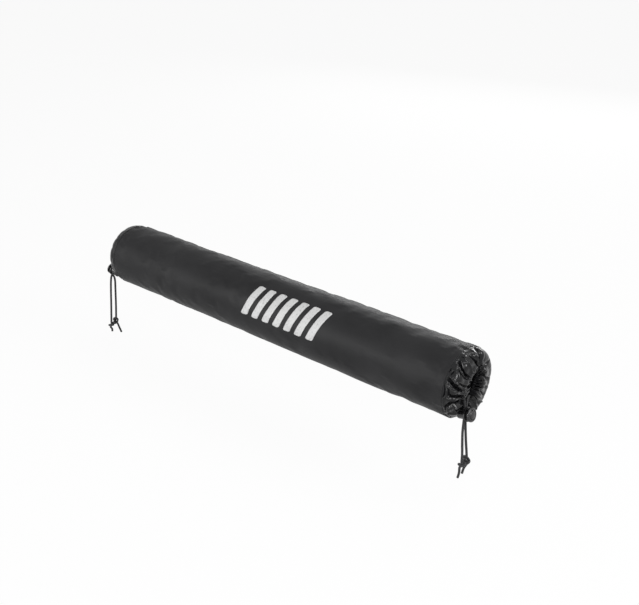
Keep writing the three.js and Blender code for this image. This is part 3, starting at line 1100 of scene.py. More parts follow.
@dataclass
class Studio:
    """A pale floor, a white surround and soft lamps."""

    floor_level: float = -0.16
    floor_size: float = 30.0
    surround: float = 0.1
    paper: float = 0.8
    floor_glow: float = 0.94
    lamps: tuple[Lamp, ...] = (
        Lamp("key", (-0.9, -1.7, 0.55), (1.0, 0.6), 22),
        Lamp("rim", (-0.5, 2.0, 0.5), (1.8, 0.2), 16),
        Lamp("end", (1.6, 0.3, 1.0), (0.8, 0.6), 20),
        Lamp("top", (1.2, -1.2, 1.3), (0.4, 0.4), 9),
        Lamp("low", (0.3, -1.5, 0.02), (1.6, 0.25), 7),
        Lamp("over", (0.5, 0.1, 1.6), (2.2, 0.1), 9),
    )

    def build(self) -> None:
        """Makes the floor, the surround and the lamps."""
        scene = bpy.context.scene
        scene.view_settings.view_transform = "Standard"
        self.build_world()
        self.build_floor()
        for lamp in self.lamps:
            data = bpy.data.lights.new(lamp.name, "AREA")
            data.shape = "RECTANGLE"
            data.size, data.size_y = lamp.size
            data.energy = lamp.watts
            made = bpy.data.objects.new(lamp.name, data)
            made.location = lamp.place
            made.rotation_euler = (-Vector(lamp.place)).to_track_quat("-Z", "Y").to_euler()
            scene.collection.objects.link(made)

    def build_world(self) -> None:
        """White where the camera, a gloss or a clear piece looks, and a plain dim surround as light."""
        world = bpy.data.worlds.new("surround")
        bpy.context.scene.world = world
        world.use_nodes = True
        tree = world.node_tree
        tree.nodes.clear()
        level = add_node(tree, "ShaderNodeMapRange", {0: self.looked_at(tree), 3: self.surround, 4: 1.0})
        ground = add_node(tree, "ShaderNodeBackground", {"Color": (1, 1, 1, 1), "Strength": level.outputs[0]})
        add_node(tree, "ShaderNodeOutputWorld", {"Surface": ground.outputs[0]})

    def looked_at(self, tree: Tree) -> Socket:
        """1 for rays from the camera, from a gloss and through a clear piece."""
        rays = add_node(tree, "ShaderNodeLightPath").outputs
        either = combined(tree, rays["Is Camera Ray"], rays["Is Transmission Ray"], "MAXIMUM")
        return combined(tree, either, rays["Is Glossy Ray"], "MAXIMUM")

    def build_floor(self) -> None:
        """A plain white floor that keeps the pad's soft shadow."""
        material = bpy.data.materials.new("floor_paper")
        material.use_nodes = True
        tree = material.node_tree
        tree.nodes.clear()
        paper = add_node(tree, "ShaderNodeBsdfDiffuse", {"Color": (self.paper, self.paper, self.paper, 1)})
        glow = add_node(tree, "ShaderNodeEmission", {"Color": (1, 1, 1, 1), "Strength": 1.0})
        share = add_node(tree, "ShaderNodeMapRange", {0: self.looked_at(tree), 3: 0.0, 4: self.floor_glow})
        mixed = add_node(tree, "ShaderNodeMixShader", {0: share.outputs[0], 1: paper.outputs[0], 2: glow.outputs[0]})
        add_node(tree, "ShaderNodeOutputMaterial", {"Surface": mixed.outputs[0]})
        half = self.floor_size / 2
        mesh = bpy.data.meshes.new("floor")
        corners = [(-half, -half), (half, -half), (half, half), (-half, half)]
        mesh.from_pydata([(x, y, self.floor_level) for x, y in corners], [], [(0, 1, 2, 3)])
        mesh.materials.append(material)
        floor = bpy.data.objects.new("floor", mesh)
        bpy.context.scene.collection.objects.link(floor)


class SettledCloth:
    """How the sleeve's cloth settles over the foam, sewn down at its ends and along its lap."""

    grid = (116, 56)
    frames = 20
    most = 0.7
    steps = 6
    point_mass = 0.25
    stretch_stiffness = 40
    bending_stiffness = 3
    pressure = 4
    slack = 0.006

    def __init__(self, sleeve: "Sleeve") -> None:
        """Runs the cloth on a coarse copy and keeps how far each place moved outwards.

        Args:
            sleeve: The sleeve, whose own rise is the start.
        """
        rows, columns = self.grid
        self.x = np.linspace(-S.seam_x, S.seam_x, rows)
        self.turn = S.lap_turn + full_turn(columns)
        grid_x, grid_turn = np.meshgrid(self.x, self.turn, indexing="ij")
        radius = S.pad_radius + sleeve.rise(grid_x, grid_turn)
        start = round_pad(grid_x, radius, grid_turn)
        faces = grid_faces(rows, columns)
        if np.cross(start[1, 0] - start[0, 0], start[0, 1] - start[0, 0]) @ start[0, 0] >= 0:
            faces = faces[:, ::-1]
        copy = mesh_object("cloth_copy", start.reshape(-1, 3), faces, sleeve.material)
        sewn = copy.vertex_groups.new(name="sewn")
        held = (np.abs(grid_x) > S.seam_x - 1) | (np.arange(columns) == 0)[None, :]
        sewn.add(np.flatnonzero(held.ravel()).tolist(), 1.0, "REPLACE")
        cloth = copy.modifiers.new("cloth", "CLOTH")
        settings = cloth.settings
        settings.quality = self.steps
        settings.mass = self.point_mass
        settings.tension_stiffness = settings.compression_stiffness = self.stretch_stiffness
        settings.bending_stiffness = self.bending_stiffness
        settings.use_pressure = True
        settings.uniform_pressure_force = self.pressure
        settings.shrink_min = -self.slack
        settings.vertex_group_mass = sewn.name
        settings.effector_weights.gravity = 0
        cloth.collision_settings.use_collision = False
        cloth.point_cache.frame_start, cloth.point_cache.frame_end = 1, self.frames
        scene = bpy.context.scene
        for number in range(1, self.frames + 1):
            scene.frame_set(number)
        settled = plain(copy)
        finish = np.empty(rows * columns * 3)
        settled.data.vertices.foreach_get("co", finish)
        finish = finish.reshape(rows, columns, 3) / MM
        moved = np.hypot(finish[..., 1], finish[..., 2]) - radius
        moved = np.where(held, 0, moved - moved[~held].mean() * 0.8)
        bpy.data.objects.remove(settled)
        scene.frame_set(1)
        log.info("cloth run: places moved %.2f to %.2f mm", moved.min(), moved.max())
        self.moved = self.most * np.tanh(moved / self.most)

    def at(self, x: np.ndarray, turn: np.ndarray) -> np.ndarray:
        """The move at each place, smooth between the copy's points."""
        rows, columns = self.grid
        row = np.clip((x + S.seam_x) / (2 * S.seam_x) * (rows - 1), 0, rows - 1 - 1e-6)
        column = ((turn - self.turn[0]) / (2 * math.pi) * columns) % columns
        i, j = row.astype(int), column.astype(int) % columns
        a, b = smoothstep(row - i, 0, 1), smoothstep(column - np.floor(column), 0, 1)
        k = (j + 1) % columns
        low = self.moved[i, j] * (1 - b) + self.moved[i, k] * b
        high = self.moved[i + 1, j] * (1 - b) + self.moved[i + 1, k] * b
        return low * (1 - a) + high * a


class Sleeve:
    """The coated cloth sewn into a tube, with its lapped seam and the puckers next to the collars."""

    columns = 200
    inner_rows = 6
    least_cloth = 0.12  # what is left between a dip and the cloth's inside
    waves = ((0.5, 0.6, 34, 3), (0.16, 1, 14, 5))  # height, squeeze along the pad, cell and seed of each noise
    wave_sink = 0.25
    wave_reach = 30.0
    puckers = ((1, 0.35, 5.5, 11), (0.6, 0.3, 3.2, 12))
    pucker_fades = ((1.1, 6.5), (0.3, 24))  # height at the seam, and the distance over which it fades
    pucker_crest = 0.3  # share of the puckers' height over the cylinder
    quilt_depth = 0.3
    quilt_width = 0.7

    def __init__(self, material: Material) -> None:
        """Keeps the finish, and lets the cloth settle."""
        self.material = material
        self.drawn: SettledCloth | None = None
        self.drawn = SettledCloth(self)

    @staticmethod
    def layered(place: np.ndarray, layers: Sequence[tuple[float, float, float, int]]) -> np.ndarray:
        """Sum of noises, each with its height, its squeeze along the pad, its cell and its seed."""
        return sum(height * lattice_noise(place * [along, 1, 1], cell, seed) for height, along, cell, seed in layers)

    def rise(self, x: np.ndarray, turn: np.ndarray) -> np.ndarray:
        """Height of the cloth over its plain cylinder.

        Args:
            x: Place along the pad.
            turn: Turn in radians, 0 to the printed side and a quarter up.

        Returns:
            Millimetres outwards.
        """
        x, turn = np.broadcast_arrays(np.asarray(x, float), np.asarray(turn, float))
        place = round_pad(x, S.pad_radius, turn).reshape(-1, 3)
        from_end = (S.seam_x - np.abs(x)).ravel()
        soft = (self.layered(place, self.waves) - self.wave_sink) * smoothstep(from_end, 0, self.wave_reach)
        fade = sum(height * np.exp(-from_end / reach) for height, reach in self.pucker_fades)
        pucker = self.layered(place, self.puckers) * fade
        pucker = np.where(pucker > 0, self.pucker_crest * pucker, pucker)
        around = (turn.ravel() - S.lap_turn + math.pi) % (2 * math.pi) - math.pi
        arc = -around * S.pad_radius
        half = S.lap_width / 2
        lap = S.lap_rise * smoothstep(arc, -half - 0.2, -half + 0.3) * (1 - smoothstep(arc, half - 1.2, half + 0.6))
        quilt = -self.quilt_depth * sum(np.exp(-(((arc - row) / self.quilt_width) ** 2)) for row in S.lap_rows)
        drawn = self.drawn.at(x.ravel(), turn.ravel()) if self.drawn else 0
        total = soft + pucker + lap + quilt + drawn
        return -soft_min(-total, np.full(total.shape, S.fabric - self.least_cloth), 0.3).reshape(x.shape)

    def build(self) -> Piece:
        """Makes the sleeve with its inside."""
        near_end = S.seam_x - np.array([0, 0.7, 1.5, 2.5, 3.6, 5, 6.5, 8.2, 10, 12, 14.5, 17.5, 21, 25])
        middle = np.linspace(-S.seam_x + 28, S.seam_x - 28, 140)
        rows = np.concatenate([-near_end, middle, near_end[::-1]])
        turn = S.lap_turn + full_turn(self.columns)
        edge = (S.lap_width / 2) / S.pad_radius
        lap_start = S.lap_turn + edge + np.array([-0.006, 0.0, 0.006])
        lap_end = S.lap_turn + 2 * math.pi - edge + np.array([-0.01, 0.01])
        turn = np.sort(np.concatenate([turn, lap_start, lap_end]))
        grid_x, grid_turn = np.meshgrid(rows, turn, indexing="ij")
        radius = S.pad_radius + self.rise(grid_x, grid_turn)
        inner_x = np.linspace(rows[-1], rows[0], self.inner_rows)
        inside_x, inside_turn = np.meshgrid(inner_x, turn, indexing="ij")
        x = np.vstack([grid_x, inside_x])
        angle = np.vstack([grid_turn, inside_turn])
        r = np.vstack([radius, np.full(inside_x.shape, S.pad_radius - S.fabric)])
        points = round_pad(x, r, angle).reshape(-1, 3)
        faces = face_out(points, grid_faces(len(x), len(turn), wrap_rows=True))
        u = np.append(turn, turn[0] + 2 * math.pi) * S.pad_radius
        v = np.concatenate([rows, 2 * rows[-1] - inner_x, [2 * rows[-1] - 3 * rows[0]]])
        return mesh_object("sleeve_cloth", points, faces, self.material, grid_uv(u, v))

    def place_on(self, x: np.ndarray, turn: np.ndarray, above: float) -> np.ndarray:
        """Points a distance above the cloth."""
        return round_pad(x, S.pad_radius + self.rise(x, turn) + above, turn)


class Collar:
    """One gathered collar: seam ridge, pleats, mouth and the hem round the drawcord."""

    columns = 560
    rise_rows = 8
    shoulder_rows = 22
    surface_rows = 70
    hem_rows = 12
    inner_rows = 10
    thickness = 0.6
    puff = 1.8
    gather_count = 19
    gather_height = 2.7
    clear_of_cord = 2.4
    opening = (9.0, 10.6)
    hem_degrees = (72, 308)  # where the hem's section begins round the cord, and how far it goes
    hem_radius = 3.0
    axis_reach = 54.0  # from the seam over the shoulder to the pad's axis
    fold_outset = 38.0
    noise_radius = 40.0
    ridge_line = (
        (-30, 1.3), (-1, 1.6), (7, 5.0), (16, 4.6), (23, 1.9), (36, 1.1), (44, 3.4), (54, 0.8), (63, 2.4), (81, 1.2),
    )  # turn in degrees, and how far in from the seam's plane the near end's ridge stands

    def __init__(self, at: EndFrame, sleeve: Sleeve, materials: tuple[Material, Material]) -> None:
        """Lays out what belongs to each column of the cloth, from the seam to the mouth.

        Args:
            at: The end's frame.
            sleeve: The sleeve that the collar is sewn to.
            materials: The collar's finish and the sleeve's.
        """
        self.at = at
        self.sleeve = sleeve
        self.materials = materials
        self.right = at.plan.end is End.RIGHT
        self.seed = 40 if self.right else 90
        self.folds = FoldField(RIGHT_FOLDS if self.right else self.made_up_folds())
        self.mouth_share = np.arange(self.columns) / self.columns
        self.seam = at.seam_angle(self.mouth_share * 2 * math.pi)
        self.ridge = self.ridge_at(self.seam)
        from_tip = np.minimum(self.mouth_share, 1 - self.mouth_share) * S.mouth_around
        self.over = smoothstep(from_tip, *self.opening)  # share by which the cloth passes over the cord
        ruffle = ring_noise(self.seam, 12, 1.9, self.seed + 5)
        swell = self.gathers(np.ones((1, self.columns)))[0] / self.gather_height
        self.cord_distance = self.hem_radius - 0.05 + 0.25 * ruffle + 0.3 * swell

    def made_up_folds(self) -> list[Fold]:
        """Folds for the end whose face isn't seen, one for each pleat with no two alike."""
        random = np.random.default_rng(self.seed)
        folds = []
        for number in range(S.pleat_count):
            share = (number + 0.5 + random.uniform(-0.25, 0.25)) / S.pleat_count
            seam = math.degrees(float(self.at.seam_angle(np.array(share * 2 * math.pi))))
            outer = np.array([math.cos(math.radians(seam)), math.sin(math.radians(seam))]) * self.fold_outset
            rim, _ = self.at.mouth_at(np.array(share))
            line = []
            for t in (0.0, 0.35, 0.7, 1.0):
                place = outer + (rim - outer) * t * 0.9
                turn = math.degrees(math.atan2(place[1], place[0])) + random.uniform(-3, 3)
                line.append((turn, 4.0 if t == 0 else self.axis_reach - float(np.hypot(*place))))
            depth, width, power = random.uniform(3.8, 6.2), random.uniform(1.8, 3.0), random.uniform(1.2, 1.7)
            folds.append(Fold(tuple(line), depth, width, power, shoulder=0.12, starts=12))
        return folds

    def ridge_at(self, turn: np.ndarray) -> np.ndarray:
        """How far in from the seam's plane the puckered ridge stands."""
        wavy = 2.2 + 1.4 * ring_noise(turn, self.noise_radius, 9, self.seed + 1)
        if not self.right:
            return np.clip(wavy, 0.8, 4.5)
        degrees = half_turns(turn)
        seen = np.interp(degrees, *np.array(self.ridge_line).T)
        share = smoothstep(degrees, -45, -30) * (1 - smoothstep(degrees, 81, 100))
        return np.clip(wavy * (1 - share) + seen * share, 0.8, 5.0)

    def hem_ring(self, radius: np.ndarray, step: float) -> np.ndarray:
        """One line of the hem, from where the face meets it to its sewn edge.

        Args:
            radius: Distance from the cord's line.
            step: 0 where the face meets the hem, 1 at its edge.

        Returns:
            Places in the end's frame: outwards, to the printed side and up.
        """
        place, away = self.at.mouth_at(self.mouth_share)
        start, sweep = self.hem_degrees
        angle = math.radians(start + sweep * step)
        radius = radius - 0.5 * math.exp(-(((angle - math.pi) / 0.8) ** 2))
        above = place + away * (radius * math.cos(angle))[:, None]
        over = np.concatenate([(S.cord_x + radius * math.sin(angle))[:, None], above], axis=1)
        beneath, level = self.at.hem(self.mouth_share, np.minimum(radius, S.hem_inner), 3 * step)
        under = np.concatenate([level[:, None], beneath], axis=1)
        share = self.over[:, None]
        return over * share + under * (1 - share)

    def creases(self, inward: np.ndarray) -> np.ndarray:
        """Fine creases that run with the cloth from the seam to the mouth."""
        turn = np.broadcast_to(self.seam[None], inward.shape)
        total = np.zeros(inward.shape)
        for cell, height, layer in ((5.2, 0.5, 2), (2.6, 0.08, 3)):
            crease = ring_noise(turn, self.noise_radius, cell, self.seed + layer, inward * cell / 24)
            total += height * (0.45 - np.abs(crease))
        return total

    def gathers(self, across: np.ndarray) -> np.ndarray:
        """Small even gathers that the drawn cord makes, deepest at the mouth and gone at the shoulder."""
        turn = 2 * math.pi * self.mouth_share
        wander = 0.45 * ring_noise(turn, 4, 1.0, self.seed + 7) / self.gather_count * 2
        uneven = 0.75 + 0.35 * ring_noise(turn, 6, 1.0, self.seed + 8)
        wave = np.cos(2 * math.pi * self.gather_count * (self.mouth_share + wander))
        crest = np.sign(wave) * np.abs(wave) ** 0.8 * uneven
        return self.gather_height * crest[None] * smoothstep(across, 0.25, 0.9)

    def seam_ridge(self, turn: np.ndarray, past: np.ndarray) -> np.ndarray:
        """The puckered ridge along the seam, with a groove on each side of it.

        Args:
            turn: Turn in radians at each place.
            past: How far each place is past the ridge's line.

        Returns:
            The height over the collar, low on the near end's upper side and at the far end.
        """
        knobs = ring_noise(turn, self.noise_radius, 3.4, self.seed + 4)
        waves = (
            (0.6 + 0.2 * knobs, 0.2, 1.0),
            (-0.8 - 0.1 * knobs, 2.6, 1.4),
            (-0.9 - 0.3 * knobs, -2.2, 1.3),
        )  # height, middle and width
        total = sum(height * np.exp(-(((past - middle) / width) ** 2)) for height, middle, width in waves)
        if not self.right:
            return 0.35 * total
        degrees = half_turns(turn)
        upper = smoothstep(degrees, 44, 66) * (1 - smoothstep(degrees, 118, 140))
        return (1 - 0.75 * upper) * total

    def tuck(self, turn: np.ndarray, inward: np.ndarray) -> np.ndarray:
        """How far the cloth sags inwards below the seam at the near end's underside."""
        if not self.right:
            return np.zeros(inward.shape)
        under = np.exp(-(((np.degrees(turn) + 64) / 26) ** 2))
        return 2.5 * under * smoothstep(inward, -0.5, 3) * (1 - smoothstep(inward, 14, 26))

    def smooth_surface(self) -> tuple[np.ndarray, np.ndarray, np.ndarray]:
        """The collar without its folds, from the seam over the shoulder and the face to the mouth.

        Returns:
            Places in the end's frame, distances from the seam, and shares of the way over the face.
        """
        power = 2 / S.shoulder_power
        crown = S.seam_x + S.clearance + S.collar_depth
        levels = np.linspace(0, 1, self.rise_rows)[:, None] * self.ridge[None, :]
        low = np.arcsin(np.clip(levels / S.collar_depth, 0, 1) ** (1 / power))
        later = np.linspace(0, 1, self.shoulder_rows + 1)[1:, None]
        bend = np.vstack([low, low[-1] + (math.pi / 2 - low[-1]) * later])
        top = bend > math.pi / 2 - 1e-6
        inset = np.where(top, S.shoulder_width, S.shoulder_width * (1 - np.cos(bend) ** power))
        outward = np.where(top, crown, S.seam_x + S.clearance + S.collar_depth * np.sin(bend) ** power)
        outside = np.stack([np.cos(self.seam), np.sin(self.seam)], axis=-1)
        shoulder = outside[None] * (S.pad_radius - inset)[..., None]
        rim = self.hem_ring(self.cord_distance, 0)
        t = np.linspace(0, 1, self.surface_rows - len(bend) + 1)[1:, None]
        face = shoulder[-1][None] * (1 - t[..., None]) + rim[None, :, 1:] * t[..., None]
        dive = smoothstep(t, 0.42, 1.0) * self.over + smoothstep(t, 0, 1) * (1 - self.over)
        puff = self.puff * self.over * smoothstep(t, 0, 0.4) * (1 - smoothstep(t, 0.45, 0.95))
        face_outward = crown + (rim[None, :, 0] - crown) * dive + puff
        walked = np.hypot(np.diff(np.linalg.norm(shoulder, axis=-1), axis=0), np.diff(outward, axis=0))
        inward = np.vstack([np.zeros(self.columns), np.cumsum(walked, axis=0)])
        face_inward = inward[-1] + (S.pad_radius - S.shoulder_width) - np.linalg.norm(face, axis=-1)
        level = np.vstack([outward, face_outward])[..., None]
        places = np.concatenate([level, np.vstack([shoulder, face])], axis=-1)
        across = np.vstack([np.zeros(outward.shape), np.broadcast_to(t, face_outward.shape)])
        return places, np.vstack([inward, face_inward]), across

    def relief(self, smooth: np.ndarray, inward: np.ndarray, across: np.ndarray) -> np.ndarray:
        """How far the folded cloth stands over the smooth collar.

        Args:
            smooth: Places on the smooth collar.
            inward: Distances from the seam.
            across: Shares of the way over the face.

        Returns:
            The height along the normal at each place.
        """
        turn = np.arctan2(smooth[..., 2], smooth[..., 1])
        ridge = self.ridge[None]
        closing = 1 - 0.8 * smoothstep(across, 0.86, 1.0)
        height = self.folds.height(turn, inward) * smoothstep(inward, ridge + 0.2, ridge + 4) * closing
        height += self.creases(inward) * smoothstep(inward, ridge + 1, ridge + 16) * closing
        height += self.gathers(across) * (0.6 + 0.4 * closing) * self.over[None]
        height += self.seam_ridge(turn, inward - ridge) - self.tuck(turn, inward)
        joint = self.sleeve.rise(np.full(self.columns, float(self.at.plan.end.outward * S.seam_x)), self.seam)
        fade = 1 - smoothstep(inward, ridge, ridge + 4)
        return height * smoothstep(inward, 0, 0.8) + joint[None] * fade

    def keep_clear(self, surface: np.ndarray, across: np.ndarray) -> None:
        """Keeps the cloth under the lock and its strands, over the cord and off the sleeve's end."""
        lid = self.at.ceiling(surface[..., 1:]) + 12 * self.over[None] * smoothstep(across, 0.45, 0.85)
        surface[..., 0] = soft_min(surface[..., 0], lid, 1.2)
        line, _ = self.at.mouth_at(self.mouth_share)
        beside = np.linalg.norm(surface[..., 1:] - line[None], axis=-1)
        bridge = S.cord_x + np.sqrt(np.maximum(self.clear_of_cord**2 - beside**2, 0))
        wraps = (self.over[None] > 0.5) & (beside < self.clear_of_cord)
        surface[..., 0] = np.where(wraps, np.maximum(surface[..., 0], bridge), surface[..., 0])
        surface[..., 0] = np.maximum(surface[..., 0], S.seam_x + S.clearance)

    def shell(self, surface: np.ndarray, normal: np.ndarray) -> np.ndarray:
        """Goes on from the surface round the hem, back along its inside and along the cloth's inside."""
        inner = surface - normal * self.thickness
        inner[..., 0] = np.maximum(inner[..., 0], S.seam_x + S.clearance)
        rings = [*surface]
        rings += [self.hem_ring(self.cord_distance, step) for step in np.linspace(0, 1, self.hem_rows)[1:]]
        inside = self.cord_distance - self.thickness
        rings += [self.hem_ring(inside, step) for step in np.linspace(1, 0, self.hem_rows)]
        rows = np.linspace(self.surface_rows - 3, 0, self.inner_rows).astype(int)
        return np.array([*rings, *inner[rows]])

    def build(self) -> Piece:
        """Makes the collar."""
        smooth, inward, across = self.smooth_surface()
        normal = np.cross(np.gradient(smooth, axis=0), np.roll(smooth, -1, axis=1) - np.roll(smooth, 1, axis=1))
        normal /= np.linalg.norm(normal, axis=-1)[..., None]
        normal *= np.sign(np.median(normal[..., 0]))
        surface = smooth + normal * self.relief(smooth, inward, across)[..., None]
        self.keep_clear(surface, across)
        shell = self.shell(surface, normal)
        points = self.at.world(shell[..., 0], shell[..., 1:]).reshape(-1, 3)
        faces = face_out(points, grid_faces(len(shell), self.columns, wrap_rows=True))
        u = np.append(self.seam, self.seam[0] + 2 * math.pi) * S.pad_radius
        beyond = np.arange(1, len(shell) - len(surface) + 2) * 1.0
        v = np.concatenate([inward.mean(axis=1), inward.mean(axis=1)[-1] + beyond])
        name = f"collar_{self.at.plan.end.value}_cloth"
        made = mesh_object(name, points, faces, self.materials[0], grid_uv(u, v))
        made.data.materials.append(self.materials[1])
        sleeve_part = np.zeros(len(faces), np.int32)
        sleeve_part[: (self.rise_rows - 1) * self.columns] = 1
        made.data.polygons.foreach_set("material_index", sleeve_part)
        self.flat_length = float(inward[-1].mean() + self.hem_radius * math.radians(self.hem_degrees[1]))
        return made


@dataclass
class CordLock:
    """The sprung cord lock at one end: a flanged barrel and a domed button."""

    at: EndFrame
    material: Material
    segments: int = 72
    slot_half: float = 1.8
    button_slot_end: float = 4.8

    def turned(self, name: str, profile: Sequence[tuple[float, float]]) -> Piece:
        """Turns a closed profile of radius and place along the axis about the lock's axis.

        Args:
            name: The piece's name.
            profile: Points from the axis to the axis.

        Returns:
            The closed solid.
        """
        origin, axes = self.at.lock_axes
        turn = full_turn(self.segments)
        ring = np.array(profile[1:-1])
        local = np.stack(
            [
                np.broadcast_to(ring[:, 1][:, None], (len(ring), self.segments)),
                ring[:, 0][:, None] * np.cos(turn)[None],
                ring[:, 0][:, None] * np.sin(turn)[None],
            ],
            axis=-1,
        ).reshape(-1, 3)
        local = np.vstack([local, [[profile[0][1], 0, 0], [profile[-1][1], 0, 0]]])
        points = origin + local @ axes
        faces = grid_faces(len(ring), self.segments).tolist()
        last = (len(ring) - 1) * self.segments
        first_pole, last_pole = len(points) - 2, len(points) - 1
        for j in range(self.segments):
            k = (j + 1) % self.segments
            faces.append([first_pole, k, j])
            faces.append([last_pole, last + j, last + k])
        return turned_outwards(mesh_object(name, points, faces, self.material))

    def slot_cutter(self, low: float, high: float, reach: float) -> Piece:
        """A block that cuts the cord slot."""
        origin, axes = self.at.lock_axes
        half_width = S.strand_spacing / 2 + S.cord_radius + S.clearance
        corners = np.array([[x, y, z] for x in (low, high) for y in (-half_width, half_width) for z in (-reach, reach)])
        points = origin + corners @ axes
        faces = [[0, 1, 3, 2], [4, 6, 7, 5], [0, 4, 5, 1], [2, 3, 7, 6], [0, 2, 6, 4], [1, 5, 7, 3]]
        return turned_outwards(mesh_object("slot_cutter", points, faces, self.material))

    def cut(self, piece: Piece, cutter: Piece) -> Piece:
        """Cuts the slot and marks the edges sharper than 40 degrees as sharp."""
        boolean = piece.modifiers.new("slot", "BOOLEAN")
        boolean.operation, boolean.solver, boolean.object = "DIFFERENCE", "EXACT", cutter
        piece = plain(piece)
        bpy.data.objects.remove(cutter)
        piece.data.set_sharp_from_angle(angle=math.radians(40))
        return piece

    def body(self) -> Piece:
        """The barrel with its flange."""
        r, f, edge = S.barrel_radius, S.flange_radius, 0.35
        floor = -7.2
        bore = 5.0
        profile = [
            (0, S.barrel_back),
            (r - 1.5, S.barrel_back),
            (r - 0.9, S.barrel_back + 0.12),
            (r - 0.3, S.barrel_back + 0.5),
            (r - 0.05, S.barrel_back + 1.1),
            (r, S.barrel_back + 2),
            (r, S.flange_start - 0.5),
            (r + 0.15, S.flange_start - 0.15),
            (r + 0.5, S.flange_start),
            (f - edge, S.flange_start),
            (f - 0.1, S.flange_start + 0.12),
            (f, S.flange_start + edge),
            (f, S.flange_end - edge),
            (f - 0.1, S.flange_end - 0.1),
            (f - edge, S.flange_end),
            (bore + 0.3, S.flange_end),
            (bore, S.flange_end - 0.3),
            (bore, floor),
            (0, floor),
        ]
        piece = self.turned(f"lock_body_{self.at.plan.end.value}_shell", profile)
        return self.cut(piece, self.slot_cutter(-self.slot_half, self.slot_half, r + 2))

    def button(self) -> Piece:
        """The button on its stem, with a ring groove round the middle of its dome."""
        stem, back, start, b, dome = 4.8, -3.0, S.button_start, S.button_radius, S.button_dome
        profile = [
            (0, back),
            (stem - 0.3, back),
            (stem, back + 0.3),
            (stem, start),
            (b - 0.5, start),
            (b - 0.12, start + 0.14),
            (b, start + 0.5),
            (b - 0.02, start + 0.30 * dome),
            (b - 0.25, start + 0.48 * dome),
            (b - 0.8, start + 0.66 * dome),
            (b - 1.5, start + 0.76 * dome),
            (b - 2.1, start + 0.78 * dome),
            (b - 2.5, start + 0.73 * dome),
            (b - 2.8, start + 0.56 * dome),
            (b - 3.2, start + 0.50 * dome),
            (b - 3.6, start + 0.58 * dome),
            (b - 3.9, start + 0.80 * dome),
            (b - 4.4, start + 0.88 * dome),
            (b - 5.2, start + 0.93 * dome),
            (b - 6.4, start + 0.96 * dome),
            (b - 7.6, start + 0.98 * dome),
            (0, start + 0.98 * dome),
        ]
        piece = self.turned(f"lock_button_{self.at.plan.end.value}_head", profile)
        return self.cut(piece, self.slot_cutter(-self.slot_half, self.button_slot_end, stem + 1))

    def spring(self, steel: Material) -> Piece:
        """The coil spring, at one fixed length; the real one shortens as the button goes in."""
        origin, axes = self.at.lock_axes
        t = np.linspace(0, 1, 145)
        turn = t * S.spring_turns * 2 * math.pi
        low, high = S.spring_ends
        across, sideways = S.spring_radius * np.cos(turn), S.spring_radius * np.sin(turn)
        path = origin + np.stack([low + (high - low) * t, across, sideways], axis=1) @ axes
        end = self.at.plan.end.value
        made = tube(f"lock_spring_{end}_wire", path, np.full((len(t), 8), S.spring_wire), steel)
        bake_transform(made)
        return made


class PrintedBars:
    """The light slanting bars printed on the side that is seen."""

    rows = 41
    columns = 15
    corner = 2.2
    lift = 0.16
    bite = 0.15

    def __init__(self, sleeve: Sleeve, material: Material) -> None:
        """Keeps the cloth that they lie on and the ink."""
        self.sleeve = sleeve
        self.material = material

    def build(self, number: int) -> Piece:
        """Makes one bar with rounded corners.

        Args:
            number: From 0 at the far end.

        Returns:
            A thin closed film on the cloth.
        """
        rows, columns, corner = self.rows, self.columns, self.corner
        middle = S.print_centre + (number - (S.bar_count - 1) / 2) * (S.bar_width + S.bar_gap)
        up = np.linspace(-0.5, 0.5, rows) * S.bar_height
        from_end = S.bar_height / 2 - np.abs(up)
        shy = corner - np.sqrt(np.maximum(corner**2 - np.maximum(corner - from_end, 0) ** 2, 0))
        half = S.bar_width / 2 - shy
        x = middle + S.bar_slant * (up / S.bar_height)[:, None] + np.linspace(-1, 1, columns)[None] * half[:, None]
        turn = math.radians(S.print_angle) + np.broadcast_to(up[:, None], x.shape) / S.pad_radius
        top = self.sleeve.place_on(x, turn, self.lift)
        bottom = self.sleeve.place_on(x, turn, -self.bite)
        points = np.vstack([top.reshape(-1, 3), bottom.reshape(-1, 3)])
        count = rows * columns
        faces = []
        for i in range(rows - 1):
            for j in range(columns - 1):
                a, b, c, d = i * columns + j, i * columns + j + 1, (i + 1) * columns + j + 1, (i + 1) * columns + j
                faces += [[a, b, c, d], [d + count, c + count, b + count, a + count]]
        edge = [*range(columns), *(i * columns + columns - 1 for i in range(1, rows))]
        edge += [(rows - 1) * columns + j for j in range(columns - 2, -1, -1)]
        edge += [i * columns for i in range(rows - 2, 0, -1)]
        for a, b in zip(edge, edge[1:] + edge[:1]):
            faces.append([b, a, a + count, b + count])
        corner_x, corner_turn = np.tile(x.ravel(), 2), np.tile(turn.ravel(), 2)
        uv = np.array([[corner_turn[k] * S.pad_radius, corner_x[k]] for face in faces for k in face])
        return turned_outwards(mesh_object(f"print_bar_{number + 1}_ink", points, faces, self.material, uv))


